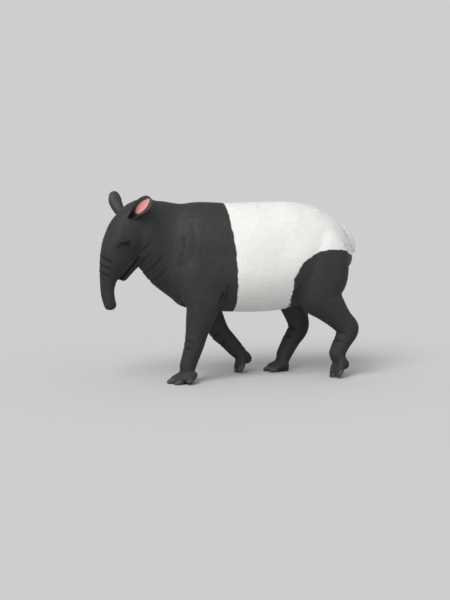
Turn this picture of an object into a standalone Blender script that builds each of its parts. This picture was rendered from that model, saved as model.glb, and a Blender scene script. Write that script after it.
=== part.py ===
"""Malayan tapir, a full-grown adult at life size, in mid-stride with its head low and turned to its left.

Metres, +Z up. The head points along -Y, the animal's left is +X and the floor is z = 0.
The flesh is lofted as closed tubes, fused into one form and parted again with thin cuts.
Eyes, ears, tail and hooves are solids of their own, each in a seat in what it grows from.
"""

import math

import bmesh
import bpy
import numpy as np
from mathutils import Matrix, Vector
from mathutils.bvhtree import BVHTree

GAP = 0.0003  # what touching pieces keep between them
MIDDLE_Y = -0.0905  # the middle of the animal's length, moved to y = 0 when a piece is placed

# Fusing the flesh: the grid, the passes that soften its creases, the faces it is thinned to
VOXEL = 0.0085
SOFTENING = 16
FLESH_FACES = 5000
HEAD_STARTS = -0.56  # y in front of which faces stay finer
FEET_END = 0.18  # height under which faces stay finer

# Torso, from the breast to the buttocks: y, back, widest level, belly, half width
TORSO = (
    (-0.490, 0.880, 0.690, 0.590, 0.125),
    (-0.455, 0.975, 0.685, 0.510, 0.175),
    (-0.385, 1.045, 0.680, 0.440, 0.214),
    (-0.270, 1.060, 0.680, 0.410, 0.242),
    (-0.100, 1.054, 0.675, 0.398, 0.268),
    (0.090, 1.056, 0.675, 0.392, 0.286),
    (0.240, 1.058, 0.690, 0.404, 0.284),
    (0.380, 1.042, 0.710, 0.450, 0.262),
    (0.500, 0.995, 0.725, 0.525, 0.226),
    (0.595, 0.915, 0.730, 0.595, 0.175),
    (0.645, 0.835, 0.730, 0.650, 0.112),
)
# Neck, from inside the withers to the nape: y, z, reach up, reach down, half width
NECK = (
    (-0.310, 0.720, 0.325, 0.270, 0.205),
    (-0.420, 0.775, 0.300, 0.245, 0.180),
    (-0.515, 0.832, 0.262, 0.206, 0.150),
    (-0.600, 0.892, 0.212, 0.164, 0.126),
    (-0.665, 0.934, 0.162, 0.142, 0.110),
)

# Head, in its own frame: u from the nape to the nose, v up from that line, w to the left
HEAD_AT = Vector((0.0, -0.655, 0.945))
HEAD_DOWN = math.radians(50)
HEAD_TURN = math.radians(15)
TURN_STARTS = -0.400  # y where the neck begins to turn
TURN_REACH = 0.240  # length over which it turns
# Skull, muzzle and trunk: u, v, reach up, reach down, half width
SKULL = (
    (-0.107, -0.052, 0.100, 0.122, 0.092),
    (-0.050, -0.022, 0.124, 0.128, 0.102),
    (0.020, -0.004, 0.136, 0.128, 0.108),
    (0.090, 0.000, 0.135, 0.124, 0.109),
    (0.171, -0.004, 0.119, 0.110, 0.100),
    (0.252, -0.019, 0.094, 0.089, 0.078),
    (0.322, -0.043, 0.070, 0.069, 0.060),
    (0.382, -0.074, 0.052, 0.048, 0.049),
    (0.428, -0.108, 0.044, 0.040, 0.045),
    (0.460, -0.145, 0.041, 0.037, 0.046),
    (0.482, -0.180, 0.037, 0.034, 0.046),
)
JAW = (
    (-0.010, -0.082, 0.070, 0.068, 0.082),
    (0.070, -0.096, 0.070, 0.078, 0.092),
    (0.145, -0.106, 0.062, 0.068, 0.084),
    (0.215, -0.114, 0.050, 0.050, 0.065),
    (0.275, -0.122, 0.036, 0.037, 0.050),
    (0.315, -0.130, 0.024, 0.026, 0.039),
)
# Line of the mouth, from its corner to the front of the lower lip: u, v
MOUTH = (
    (0.112, -0.082),
    (0.145, -0.098),
    (0.200, -0.108),
    (0.260, -0.112),
    (0.310, -0.1155),
    (0.375, -0.134),
)
MOUTH_WIDTH = 0.0026
NOSTRIL_OUT = 0.018
NOSTRIL_HALVES = (0.0080, 0.0115, 0.0150)  # across, fore and aft, deep

# Eyes: place in the head's frame, how deep the ball lies, the mound of the lids and the slit in it
EYE_AT = (0.170, 0.030)
EYE_RADIUS = 0.0165
EYE_SINK = 0.0122
LID_HALVES = (0.034, 0.026, 0.0202)
SLIT_HALVES = (0.0165, 0.0040, 0.0130)
SLIT_TILT = math.radians(24)

# Ears: the root in the head's frame, which way each points and opens
EAR_AT = (0.014, 0.064, 0.046)
EAR_LENGTH = 0.178
EAR_WALL = 0.006
EAR_POINTS = {"left": (0.46, 0.56, 0.68), "right": (-0.42, -0.34, 0.84)}
EAR_OPENS = {"left": (0.80, -0.55, -0.10), "right": (-0.92, -0.35, 0.0)}
# Arcs along an ear: share of its length, radius, half of the angle that the arc wraps in degrees
EAR_ARCS = (
    (0.00, 0.022, 150.0),
    (0.22, 0.025, 135.0),
    (0.38, 0.033, 106.0),
    (0.56, 0.042, 81.0),
    (0.75, 0.048, 60.0),
    (0.90, 0.047, 42.0),
    (1.00, 0.043, 17.0),
)

# Tail: y, z, radius
TAIL = (
    (0.545, 0.892, 0.046),
    (0.605, 0.878, 0.037),
    (0.650, 0.845, 0.028),
    (0.675, 0.803, 0.020),
    (0.688, 0.765, 0.012),
    (0.692, 0.745, 0.007),
)

# Joints of each leg as (y, z), from inside the body down to the wrist or hock
FORE_JOINTS = {
    "left": ((-0.280, 0.820), (-0.318, 0.650), (-0.282, 0.470), (-0.322, 0.240)),
    "right": ((-0.280, 0.820), (-0.305, 0.650), (-0.235, 0.470), (-0.112, 0.255)),
}
HIND_JOINTS = {
    "left": ((0.400, 0.890), (0.440, 0.745), (0.420, 0.510), (0.618, 0.292)),
    "right": ((0.400, 0.890), (0.430, 0.745), (0.330, 0.520), (0.385, 0.280)),
}
# Girths: bone, share along it, distance from the middle plane, reach forward, reach back, half width
FORE_GIRTHS = (
    (0, 0.0, 0.118, 0.090, 0.100, 0.055),
    (1, 0.0, 0.158, 0.125, 0.125, 0.082),
    (1, 0.6, 0.164, 0.112, 0.122, 0.086),
    (2, 0.0, 0.162, 0.098, 0.110, 0.084),
    (2, 0.45, 0.156, 0.080, 0.088, 0.072),
    (2, 0.9, 0.150, 0.065, 0.066, 0.061),
    (3, 0.0, 0.150, 0.064, 0.063, 0.061),
    (3, 0.5, 0.150, 0.055, 0.056, 0.054),
    (3, 1.0, 0.150, 0.053, 0.050, 0.055),
)
HIND_GIRTHS = (
    (0, 0.0, 0.110, 0.120, 0.100, 0.075),
    (1, 0.0, 0.148, 0.170, 0.172, 0.112),
    (1, 0.5, 0.156, 0.158, 0.182, 0.120),
    (2, 0.0, 0.155, 0.124, 0.154, 0.109),
    (2, 0.35, 0.150, 0.100, 0.112, 0.092),
    (2, 0.8, 0.147, 0.069, 0.077, 0.065),
    (3, 0.0, 0.146, 0.062, 0.072, 0.061),
    (3, 0.5, 0.146, 0.056, 0.058, 0.055),
    (3, 1.0, 0.146, 0.051, 0.048, 0.053),
)

# Feet, in a frame under the fetlock: forward, outward, up from the sole
FETLOCK_HEIGHT = 0.088
# Place along y of the fetlock, or of the toes' tips on a tipped foot, then tip and turn-out in degrees
FEET = {
    "fore_left": (-0.368, 0.0, 5.0),
    "fore_right": (0.000, 52.0, 4.0),
    "hind_left": (0.525, 44.0, 6.0),
    "hind_right": (0.290, 0.0, 6.0),
}
# Pad under the fetlock: height, reach forward, reach back, half width
PAD = (
    (0.096, 0.042, 0.034, 0.042),
    (0.060, 0.046, 0.036, 0.046),
    (0.028, 0.044, 0.038, 0.048),
    (0.004, 0.038, 0.034, 0.043),
    (-0.004, 0.032, 0.029, 0.038),
)
# Toes: place outward, direction outward in degrees, size, how far back, how far up
TOES = {
    "inner": (-0.036, -13.0, 0.88, 0.012, 0.0),
    "middle": (0.000, 0.0, 1.00, 0.000, 0.0),
    "outer": (0.036, 13.0, 0.88, 0.012, 0.0),
    "small": (0.050, 38.0, 0.66, 0.040, 0.014),
}
FORE_TOES = ("inner", "middle", "outer", "small")
HIND_TOES = ("inner", "middle", "outer")
TOE_LENGTH = 0.088
TOE_RADIUS = 0.032
HOOF_LENGTH = 0.052
HOOF_HALF_WIDTH = 0.029
HOOF_HEIGHT = 0.040
HOOF_TIP = 0.020  # how far the hoof's tip lies past the toe's end
HOOF_DIP = 0.004  # how far a tipped foot's hooves are cut by the floor

# Cuts that part the flesh, as paths of (y, z) across the animal
NAPE_CUT = ((-0.625, 1.180), (-0.585, 0.500))
NECK_CUT = ((-0.400, 1.160), (-0.600, 0.480))
SADDLE_FRONT = (
    (-0.128, 1.120),
    (-0.122, 1.030),
    (-0.112, 0.930),
    (-0.096, 0.800),
    (-0.088, 0.640),
    (-0.080, 0.500),
    (-0.072, 0.355),
)
SADDLE_BACK = (
    (0.280, 0.330),
    (0.268, 0.400),
    (0.248, 0.500),
    (0.250, 0.620),
    (0.305, 0.715),
    (0.390, 0.768),
    (0.500, 0.785),
    (0.600, 0.768),
    (0.760, 0.710),
)
LOIN_CUT = ((0.270, 1.150), (0.270, 0.560))
STIFLE_CUT = {"left": ((0.270, 0.370), (0.640, 0.545)), "right": ((0.170, 0.378), (0.540, 0.460))}
# Armpit cut: its corners at the rear inside, rear outside, front outside and front inside
ARMPIT_CUT = ((0.02, -0.03, 0.273), (0.33, -0.03, 0.480), (0.33, -0.52, 0.597), (0.02, -0.52, 0.390))
JOINT_CUT_REACH = 0.13

BLACK_COAT = ("black_coat", (0.035, 0.034, 0.035, 1.0), 0.7)
WHITE_COAT = ("white_coat", (0.80, 0.79, 0.76, 1.0), 0.75)
EYE_FINISH = ("eye", (0.020, 0.012, 0.008, 1.0), 0.1)
HOOF_FINISH = ("hoof", (0.060, 0.052, 0.045, 1.0), 0.45)


def material(finish):
    """The material of one finish, made once."""
    name, colour, roughness = finish
    if name in bpy.data.materials:
        return bpy.data.materials[name]
    made = bpy.data.materials.new(name)
    made.use_nodes = True
    shader = made.node_tree.nodes["Principled BSDF"]
    shader.inputs["Base Color"].default_value = colour
    shader.inputs["Roughness"].default_value = roughness
    shader.inputs["Metallic"].default_value = 0.0
    made.diffuse_color = colour
    return made


def place(name, mesh, finish):
    """Adds a finished piece to the scene, shaded smooth."""
    mesh.name = name
    mesh.transform(Matrix.Translation((0, -MIDDLE_Y, 0)))
    mesh.materials.clear()
    mesh.materials.append(material(finish))
    mesh.shade_smooth()
    mesh.set_sharp_from_angle(angle=math.radians(40))
    bpy.context.scene.collection.objects.link(bpy.data.objects.new(name, mesh))


def helper(name, mesh):
    """An object that only shapes others."""
    made = bpy.data.objects.new(name, mesh)
    made.hide_render = True
    made.display_type = "WIRE"
    bpy.context.scene.collection.objects.link(made)
    return made


def evaluated(obj):
    """The object's mesh with its modifiers applied. The object itself is removed."""
    graph = bpy.context.evaluated_depsgraph_get()
    mesh = bpy.data.meshes.new_from_object(obj.evaluated_get(graph))
    bpy.data.objects.remove(obj)
    return mesh


def points_of(mesh):
    points = np.empty(len(mesh.vertices) * 3)
    mesh.vertices.foreach_get("co", points)
    return points.reshape(-1, 3)


def set_points(mesh, points):
    mesh.vertices.foreach_set("co", np.asarray(points).ravel())
    mesh.update()


def closed_mesh(name, points, faces):
    """A mesh of triangles from closed faces, all turned outwards."""
    mesh = bpy.data.meshes.new(name)
    mesh.from_pydata([tuple(point) for point in points], [], faces)
    work = bmesh.new()
    work.from_mesh(mesh)
    bmesh.ops.triangulate(work, faces=work.faces)
    bmesh.ops.recalc_face_normals(work, faces=work.faces)
    work.to_mesh(mesh)
    work.free()
    return mesh


def moved(mesh, frame):
    """The mesh carried into a frame. A frame that mirrors has its faces turned back outwards."""
    mesh.transform(frame)
    if frame.determinant() < 0:
        mesh.flip_normals()
    return mesh


def through(rows, count, measured=3):
    """Rows at even steps along a smooth curve through the given rows that never overshoots one of them.

    The first columns, as many as are measured, tell how far apart two rows are. Between them the
    curve is a cubic. Its slope at a row is the harmonic mean of the slopes on both sides, or zero at
    a crest or a dip.
    """
    rows = np.array(rows, float)
    steps = np.linalg.norm(np.diff(rows[:, :measured], axis=0), axis=1)
    places = np.concatenate([[0.0], np.cumsum(steps)])
    rise = np.diff(rows, axis=0) / steps[:, None]
    before, after = rise[:-1], rise[1:]
    same_way = before * after > 0
    mean = 2 * before * after / np.where(same_way, before + after, 1.0)
    slopes = np.concatenate([rise[:1], np.where(same_way, mean, 0.0), rise[-1:]])
    at = np.linspace(0, places[-1], count)
    span = np.clip(np.searchsorted(places, at, side="right") - 1, 0, len(steps) - 1)
    width = steps[span][:, None]
    t = (at - places[span])[:, None] / width
    return (
        rows[span] * (1 + 2 * t) * (1 - t) ** 2
        + slopes[span] * width * t * (1 - t) ** 2
        + rows[span + 1] * t * t * (3 - 2 * t)
        + slopes[span + 1] * width * t * t * (t - 1)
    )


def ring(centre, across, up, half_width, reach_up, reach_down, sides=36):
    """An oval round a centre, with its own reach above and below it."""
    angle = np.linspace(0, 2 * math.pi, sides, endpoint=False)
    reach = np.where(np.sin(angle) > 0, reach_up, reach_down)
    outward = half_width * np.cos(angle)[:, None] * np.asarray(across)
    return np.asarray(centre) + outward + (reach * np.sin(angle))[:, None] * np.asarray(up)


def tube(rings, bulge=0.55, dome=(30, 58, 80)):
    """A closed tube through rings, with each end rounded off by a dome of smaller rings."""
    ends = []
    for end, inner in ((rings[0], rings[1]), (rings[-1], rings[-2])):
        middle = end.mean(axis=0)
        outward = middle - inner.mean(axis=0)
        outward *= bulge * np.linalg.norm(end - middle, axis=1).min() / np.linalg.norm(outward)
        slopes = np.radians(dome)
        ends.append([middle + (end - middle) * math.cos(a) + outward * math.sin(a) for a in slopes])
    rings = [*ends[0][::-1], *rings, *ends[1]]
    sides = len(rings[0])
    faces = []
    for k in range(len(rings) - 1):
        for j in range(sides):
            here, beside = k * sides + j, k * sides + (j + 1) % sides
            faces.append((here, beside, beside + sides, here + sides))
    faces.append(tuple(range(sides)))
    faces.append(tuple(range((len(rings) - 1) * sides, len(rings) * sides)))
    return closed_mesh("tube", np.concatenate(rings), faces)


def path_rings(rows, count=44, sides=36):
    """Ovals square to a path: rows of x, y, z, reach up, reach down, half width."""
    rows = through(rows, count)
    along = np.gradient(rows[:, :3], axis=0)
    along /= np.linalg.norm(along, axis=1)[:, None]
    rings = []
    for (x, y, z, up, down, half), way in zip(rows, along):
        across = np.array((1.0, 0.0, 0.0)) - way[0] * way
        across /= np.linalg.norm(across)
        rings.append(ring((x, y, z), across, np.cross(across, way), half, up, down, sides))
    return rings


def ball(centre, axes, halves, sides=14, rows=8):
    """A closed ellipsoid from three axes and the half size along each."""
    mesh = bpy.data.meshes.new("ball")
    work = bmesh.new()
    bmesh.ops.create_uvsphere(work, u_segments=sides, v_segments=rows, radius=1.0)
    bmesh.ops.triangulate(work, faces=work.faces)
    work.to_mesh(mesh)
    work.free()
    frame = Matrix([list(Vector(axis) * half) for axis, half in zip(axes, halves)]).transposed().to_4x4()
    return moved(mesh, Matrix.Translation(centre) @ frame)


def grown(mesh, amount=GAP * 1.2):
    """A copy with every face moved outwards by the amount, to cut the seat that the piece sits in.

    Each corner moves by the shortest step that carries all faces round it that far.
    """
    work = bmesh.new()
    work.from_mesh(mesh)
    steps = []
    for vert in work.verts:
        normals = np.array([face.normal for face in vert.link_faces])
        step = np.linalg.lstsq(normals, np.full(len(normals), amount), rcond=0.1)[0]
        steps.append(step * min(1.0, 4 * amount / np.linalg.norm(step)))
    work.free()
    copy = mesh.copy()
    set_points(copy, points_of(copy) + np.array(steps))
    return copy


def plate(corners, thickness=GAP):
    """A thin closed plate between four corners."""
    corners = np.array(corners, float)
    normal = np.cross(corners[1] - corners[0], corners[3] - corners[0])
    normal *= thickness / 2 / np.linalg.norm(normal)
    faces = [(0, 1, 2, 3), (7, 6, 5, 4)]
    faces += [(k, k + 4, (k + 1) % 4 + 4, (k + 1) % 4) for k in range(4)]
    return closed_mesh("plate", np.concatenate([corners - normal, corners + normal]), faces)


def ribbon(path, low=-0.36, high=0.36, thickness=GAP, lift=None):
    """A thin closed ribbon along a path of (y, z), from x = low to high, then lifted point by point."""
    path = np.array(path, float)
    along = np.gradient(path, axis=0)
    along /= np.linalg.norm(along, axis=1)[:, None]
    aside = np.stack([-along[:, 1], along[:, 0]], axis=1) * thickness / 2
    rim = np.concatenate([path - aside, (path + aside)[::-1]])
    count = len(rim)
    points = [(x, y, z) for x in (low, high) for y, z in rim]
    faces = [(k, (k + 1) % count, (k + 1) % count + count, k + count) for k in range(count)]
    for k in range(count // 2 - 1):
        side = (k, k + 1, count - 2 - k, count - 1 - k)
        faces += [side, tuple(corner + count for corner in side[::-1])]
    return closed_mesh("ribbon", [lift(*point) for point in points] if lift else points, faces)


def joint_ribbon(above, joint, below, side):
    """A ribbon square across one leg, at a joint between the joints above and below it."""
    above, joint, below = (np.array(spot) for spot in (above, joint, below))
    down = (joint - above) / np.linalg.norm(joint - above) + (below - joint) / np.linalg.norm(below - joint)
    reach = np.array((-down[1], down[0])) * JOINT_CUT_REACH / np.linalg.norm(down)
    return ribbon((joint - reach, joint, joint + reach), *sorted((side * 0.015, side * 0.30)))


def under_floor():
    """All that lies under the floor."""
    mesh = bpy.data.meshes.new("under_floor")
    work = bmesh.new()
    bmesh.ops.create_cube(work, size=3.0, matrix=Matrix.Translation((0, 0, -1.5)))
    work.to_mesh(mesh)
    work.free()
    return mesh


def combined(mesh, others, operation):
    """The mesh joined with the others, or with all of them cut out of it."""
    target = helper("target", mesh)
    tools = bpy.data.collections.new("tools")
    for other in others:
        tools.objects.link(bpy.data.objects.new("tool", other))
    bpy.context.scene.collection.children.link(tools)
    step = target.modifiers.new("join", "BOOLEAN")
    step.operation = operation
    step.operand_type = "COLLECTION"
    step.collection = tools
    step.solver = "EXACT"
    made = evaluated(target)
    for tool in list(tools.objects):
        bpy.data.objects.remove(tool)
    bpy.data.collections.remove(tools)
    return made


def surfaces(mesh):
    """The mesh's closed surfaces as meshes of their own, largest volume first."""
    work = bmesh.new()
    work.from_mesh(mesh)
    bmesh.ops.remove_doubles(work, verts=work.verts, dist=1e-6)
    bmesh.ops.dissolve_degenerate(work, edges=work.edges, dist=1e-6)
    bmesh.ops.triangulate(work, faces=work.faces)
    seen, found = set(), []
    for start in work.faces:
        if start in seen:
            continue
        seen.add(start)
        piece = [start]
        for face in piece:
            for edge in face.edges:
                fresh = [other for other in edge.link_faces if other not in seen]
                seen.update(fresh)
                piece += fresh
        order = {}
        corners = [[order.setdefault(vert, len(order)) for vert in face.verts] for face in piece]
        points = np.array([vert.co for vert in order])
        surface = bpy.data.meshes.new("surface")
        surface.from_pydata(points.tolist(), [], corners)
        a, b, c = points[np.array(corners)].transpose(1, 0, 2)
        found.append((float((a * np.cross(b, c)).sum()) / 6, surface))
    work.free()
    return [surface for _, surface in sorted(found, key=lambda pair: -pair[0])]


def cut(mesh, cutters):
    """The largest closed surface left when the cutters are taken out of the mesh."""
    return surfaces(combined(mesh, cutters, "DIFFERENCE"))[0]


def split(mesh, cutter, axis):
    """The two pieces that a thin cutter leaves, the one lower along the axis first."""
    pieces = surfaces(combined(mesh, [cutter], "DIFFERENCE"))[:2]
    return sorted(pieces, key=lambda piece: points_of(piece)[:, axis].mean())


def turned(point, stiff=False):
    """A point of the neck or head, turned left about an upright line at the withers.

    The angle grows smoothly along the neck. A stiff turn has the head's whole angle everywhere.
    """
    x, y, z = point
    share = 1.0 if stiff else min(max((TURN_STARTS - y) / TURN_REACH, 0.0), 1.0)
    angle = HEAD_TURN * share * share * (3 - 2 * share)
    y -= TURN_STARTS
    return Vector(
        (
            x * math.cos(angle) - y * math.sin(angle),
            x * math.sin(angle) + y * math.cos(angle) + TURN_STARTS,
            z,
        )
    )


def turned_rings(rings):
    return [np.array([turned(point) for point in points]) for points in rings]


def head_axes():
    """The head's directions to the nose, the crown and the left, before it is turned."""
    nose = Vector((0, -math.cos(HEAD_DOWN), -math.sin(HEAD_DOWN)))
    crown = Vector((0, -math.sin(HEAD_DOWN), math.cos(HEAD_DOWN)))
    return nose, crown, Vector((1, 0, 0))


def head_point(u, v, w=0.0):
    """A place in the head's frame, before it is turned."""
    nose, crown, left = head_axes()
    return HEAD_AT + nose * u + crown * v + left * w


def turned_way(way):
    """A direction turned with the head."""
    return (turned(way, stiff=True) - turned((0, 0, 0), stiff=True)).normalized()


def torso_form():
    """Upright ovals from the breast to the buttocks."""
    rings = []
    for y, back, widest, belly, half in through(TORSO, 44):
        rings.append(ring((0, y, widest), (1, 0, 0), (0, 0, 1), half, back - widest, widest - belly))
    return tube(rings, bulge=0.3)


def neck_form():
    """Ovals square to the neck's line."""
    return tube(turned_rings(path_rings([(0, y, z, down, up, half) for y, z, up, down, half in NECK])))


def head_form(stations):
    """The skull with its trunk, or the jaw."""
    rows = [(*head_point(u, v), down, up, half) for u, v, up, down, half in stations]
    return tube(turned_rings(path_rings(rows)))


def leg_form(joints, girths, side):
    """A leg through its joints."""
    rows = []
    for bone, share, out, forward, back, half in girths:
        end = joints[bone + 1] if share else joints[bone]
        y, z = np.array(joints[bone]) * (1 - share) + np.array(end) * share
        rows.append((side * out, y, z, back, forward, half))
    return tube(path_rings(rows))


def foot_frame(name, side, out):
    """Where a foot's frame lies: level under its fetlock, or tipped on to the ends of its toes."""
    y, tip, turn_out = FEET[name]
    axes = Matrix(((0, side, 0, 0), (-1, 0, 0, 0), (0, 0, 1, 0), (0, 0, 0, 1)))
    tipped = Matrix.Rotation(math.radians(tip), 4, "X")
    turn = Matrix.Rotation(math.radians(side * turn_out), 4, "Z") @ tipped @ axes
    if not tip:
        return Matrix.Translation((side * out, y, 0)) @ turn
    ends = turn @ Vector((TOE_LENGTH + HOOF_TIP, 0, 0.004))
    return Matrix.Translation((side * out - ends.x, y - ends.y, -HOOF_DIP - ends.z)) @ turn


def toe_rings(toe, stations, count, sides):
    """Ovals along a toe: distance, height, half height and half width, all times the toe's size."""
    place_out, way_out, size, back, lift = TOES[toe]
    way = np.array((math.cos(math.radians(way_out)), math.sin(math.radians(way_out)), 0.0))
    root = np.array((0.004 - back, place_out, lift))
    across, up = np.array((-way[1], way[0], 0.0)), np.array((0.0, 0.0, 1.0))
    rings = []
    for far, height, tall, wide in through(stations, count):
        centre = root + way * far * size + up * height * size
        rings.append(ring(centre, across, up, wide * size, tall * size, tall * size, sides))
    return rings


def toe_form(toe):
    """The fleshy toe, from under the fetlock forward and down into the hoof."""
    r = TOE_RADIUS
    stations = (
        (0.000, 0.062, r * 0.95, r),
        (0.030, 0.045, r, r),
        (0.060, 0.030, r * 0.9, r),
        (TOE_LENGTH, 0.023, r * 0.7, r * 0.86),
    )
    return tube(toe_rings(toe, stations, 9, 16))


def hoof_form(toe):
    """A blunt hoof that wraps the toe's end and meets the floor."""
    start = TOE_LENGTH - HOOF_LENGTH / 2
    tall, wide = HOOF_HEIGHT / 2, HOOF_HALF_WIDTH
    stations = (
        (start, tall * 0.98, tall * 0.90, wide * 0.92),
        (start + HOOF_LENGTH * 0.35, tall * 0.92, tall * 1.02, wide * 1.05),
        (start + HOOF_LENGTH * 0.70, tall * 0.72, tall * 0.82, wide),
        (start + HOOF_LENGTH, tall * 0.46, tall * 0.52, wide * 0.74),
    )
    return tube(toe_rings(toe, stations, 5, 10), dome=(35, 68))


def foot_forms(name, side, out):
    """A foot's fleshy forms, its hooves by toe and the place of its fetlock as (y, z)."""
    frame = foot_frame(name, side, out)
    toes = FORE_TOES if name.startswith("fore") else HIND_TOES
    pad = [
        ring((0, 0, height), (0, 1, 0), (1, 0, 0), half, front, back)
        for height, front, back, half in through(PAD, 10)
    ]
    flesh = [moved(form, frame) for form in (tube(pad), *(toe_form(toe) for toe in toes))]
    hooves = {toe: cut(moved(hoof_form(toe), frame), [under_floor()]) for toe in toes}
    fetlock = frame @ Vector((0, 0, FETLOCK_HEIGHT))
    return flesh, hooves, (fetlock.y, fetlock.z)


def tail_solid():
    return tube(path_rings([(0, y, z, r, r, r) for y, z, r in TAIL], 9, 12))


def ear_solid(which, rows=10, columns=9):
    """A cupped ear: arcs that wrap less and less towards the tip, with a second wall inside them."""
    u, v, w = EAR_AT
    root = np.array(turned(head_point(u, v, w if which == "left" else -w)))
    axis = Vector(EAR_POINTS[which]).normalized()
    front = Vector(EAR_OPENS[which])
    front = (front - axis * front.dot(axis)).normalized()
    across = np.array(front.cross(axis))
    axis, front = np.array(axis), np.array(front)
    shares, radii, wraps = through(EAR_ARCS, rows, 1).T
    middle = root + axis * (shares * EAR_LENGTH)[:, None] + front * radii[:, None]
    angle = (np.radians(wraps)[:, None] * np.linspace(-1, 1, columns))[..., None]
    sweep = np.sin(angle) * across - np.cos(angle) * front
    walls = [middle[:, None] + (radii - inset)[:, None, None] * sweep for inset in (0.0, EAR_WALL)]
    outer = np.arange(rows * columns).reshape(rows, columns)
    faces = []
    for wall in (outer, outer + outer.size):
        corners = np.stack([wall[:-1, :-1], wall[:-1, 1:], wall[1:, 1:], wall[1:, :-1]], axis=-1)
        faces += corners.reshape(-1, 4).tolist()
    rim = np.concatenate([outer[0, :-1], outer[:-1, -1], outer[-1, :0:-1], outer[:0:-1, 0]])
    beside = np.roll(rim, -1)
    faces += np.stack([rim, beside, beside + outer.size, rim + outer.size], axis=1).tolist()
    return closed_mesh("ear", np.concatenate(walls).reshape(-1, 3), faces)


def eye_pieces(tree, side):
    """An eyeball, the mound of its lids and the cutter that opens the slit between them."""
    start = turned(head_point(*EYE_AT, side * 0.35))
    spot, normal, _, _ = tree.ray_cast(start, turned(head_point(*EYE_AT)) - start)
    centre = spot - normal * EYE_SINK
    level = turned_way(head_axes()[0])
    level.rotate(Matrix.Rotation(-side * SLIT_TILT, 3, normal))
    level = (level - normal * level.dot(normal)).normalized()
    axes = (level, normal.cross(level), normal)
    eyeball = ball(centre, axes, (EYE_RADIUS,) * 3)
    lids = ball(centre, axes, LID_HALVES, 20, 12)
    slit = ball(centre + normal * (EYE_RADIUS + LID_HALVES[2]) / 2, axes, SLIT_HALVES)
    return eyeball, lids, slit


def nostril_cutters():
    """Two pits in the end of the trunk, slanting outwards."""
    nose, crown, left = head_axes()
    (u0, v0), (u1, v1) = (row[:2] for row in SKULL[-2:])
    down = (nose * (u1 - u0) + crown * (v1 - v0)).normalized()
    fore = left.cross(down)
    cutters = []
    for side in (-1, 1):
        spot = head_point(u1, v1, side * NOSTRIL_OUT) + down * 0.014 - fore * 0.010
        axes = (left * 0.9 + fore * side * 0.3, fore - left * side * 0.3, down)
        cutters.append(ball(turned(spot), [turned_way(axis) for axis in axes], NOSTRIL_HALVES))
    return cutters


def mouth_cutter():
    """A thin curved ribbon across the head along the line of the lips."""
    line = through([(u, v, 0.0) for u, v in MOUTH], 14)[:, :2]
    return ribbon(line, -0.13, 0.13, MOUTH_WIDTH, lambda w, u, v: turned(head_point(u, v, w)))


def head_solid(head, ears):
    """The head with its lids, mouth, nostrils and the seats of eyes and ears, and the two eyes."""
    tree_mesh = bmesh.new()
    tree_mesh.from_mesh(head)
    tree = BVHTree.FromBMesh(tree_mesh)
    tree_mesh.free()
    eyes, lids, cutters = {}, [], [mouth_cutter(), *nostril_cutters()]
    for which, side in (("left", 1), ("right", -1)):
        eyes[which], mound, slit = eye_pieces(tree, side)
        lids.append(mound)
        cutters += [slit, grown(eyes[which]), grown(ears[which])]
    return cut(combined(head, lids, "UNION"), cutters), eyes


def weigh(obj, weights):
    """Gives the object's points a group of weights."""
    group = obj.vertex_groups.new(name="free")
    for index, weight in enumerate(weights):
        group.add([index], float(weight), "REPLACE")
    return group.name


def fused(forms):
    """The forms as one skin: fused on a grid, its creases softened, and thinned least on head and feet."""
    work = bmesh.new()
    for form in forms:
        work.from_mesh(form)
    mesh = bpy.data.meshes.new("flesh")
    work.to_mesh(mesh)
    work.free()
    body = helper("flesh", mesh)
    fuse = body.modifiers.new("fuse", "REMESH")
    fuse.mode = "VOXEL"
    fuse.voxel_size = VOXEL
    body = helper("flesh", evaluated(body))
    points = points_of(body.data)
    head = np.clip((HEAD_STARTS - points[:, 1]) / 0.06, 0, 1)
    feet = np.clip((FEET_END - points[:, 2]) / 0.06, 0, 1)
    soften = body.modifiers.new("soften", "SMOOTH")
    soften.factor = 0.5
    soften.iterations = SOFTENING
    soften.vertex_group = weigh(body, 1 - np.maximum(0.64 * head, 0.85 * feet))
    body = helper("flesh", evaluated(body))
    thin = body.modifiers.new("thin", "DECIMATE")
    thin.ratio = FLESH_FACES / (2 * len(body.data.polygons))
    thin.vertex_group = weigh(body, 1 - np.maximum(0.72 * head, 0.43 * feet))
    thin.vertex_group_factor = 0.0002
    return surfaces(evaluated(body))[0]


def parted(flesh, fetlocks):
    """The flesh cut into its named pieces."""
    pieces = {}
    pieces["head"], body = split(flesh, ribbon(NAPE_CUT, lift=lambda *p: turned(p, stiff=True)), 1)
    pieces["neck"], body = split(body, ribbon(NECK_CUT), 1)
    front, back = split(body, ribbon(SADDLE_FRONT), 1)
    lower, white = split(back, ribbon(SADDLE_BACK), 2)
    pieces["barrel"], pieces["rump"] = split(white, ribbon(LOIN_CUT), 1)
    middle = plate([(0, 0.15, 0.20), (0, 0.90, 0.20), (0, 0.90, 0.95), (0, 0.15, 0.95)])
    halves = dict(zip(("right", "left"), split(lower, middle, 0)))
    for which, side in (("left", 1), ("right", -1)):
        leg, front = split(front, plate([(side * x, y, z) for x, y, z in ARMPIT_CUT]), 2)
        wrist = joint_ribbon(*FORE_JOINTS[which][2:], fetlocks[f"fore_{which}"], side)
        pieces[f"forefoot_{which}"], pieces[f"foreleg_{which}"] = split(leg, wrist, 2)
        shank, pieces[f"thigh_{which}"] = split(halves[which], ribbon(STIFLE_CUT[which]), 2)
        hock = joint_ribbon(*HIND_JOINTS[which][2:], fetlocks[f"hind_{which}"], side)
        pieces[f"hindfoot_{which}"], pieces[f"shank_{which}"] = split(shank, hock, 2)
    pieces["chest"] = front
    return pieces


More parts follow.
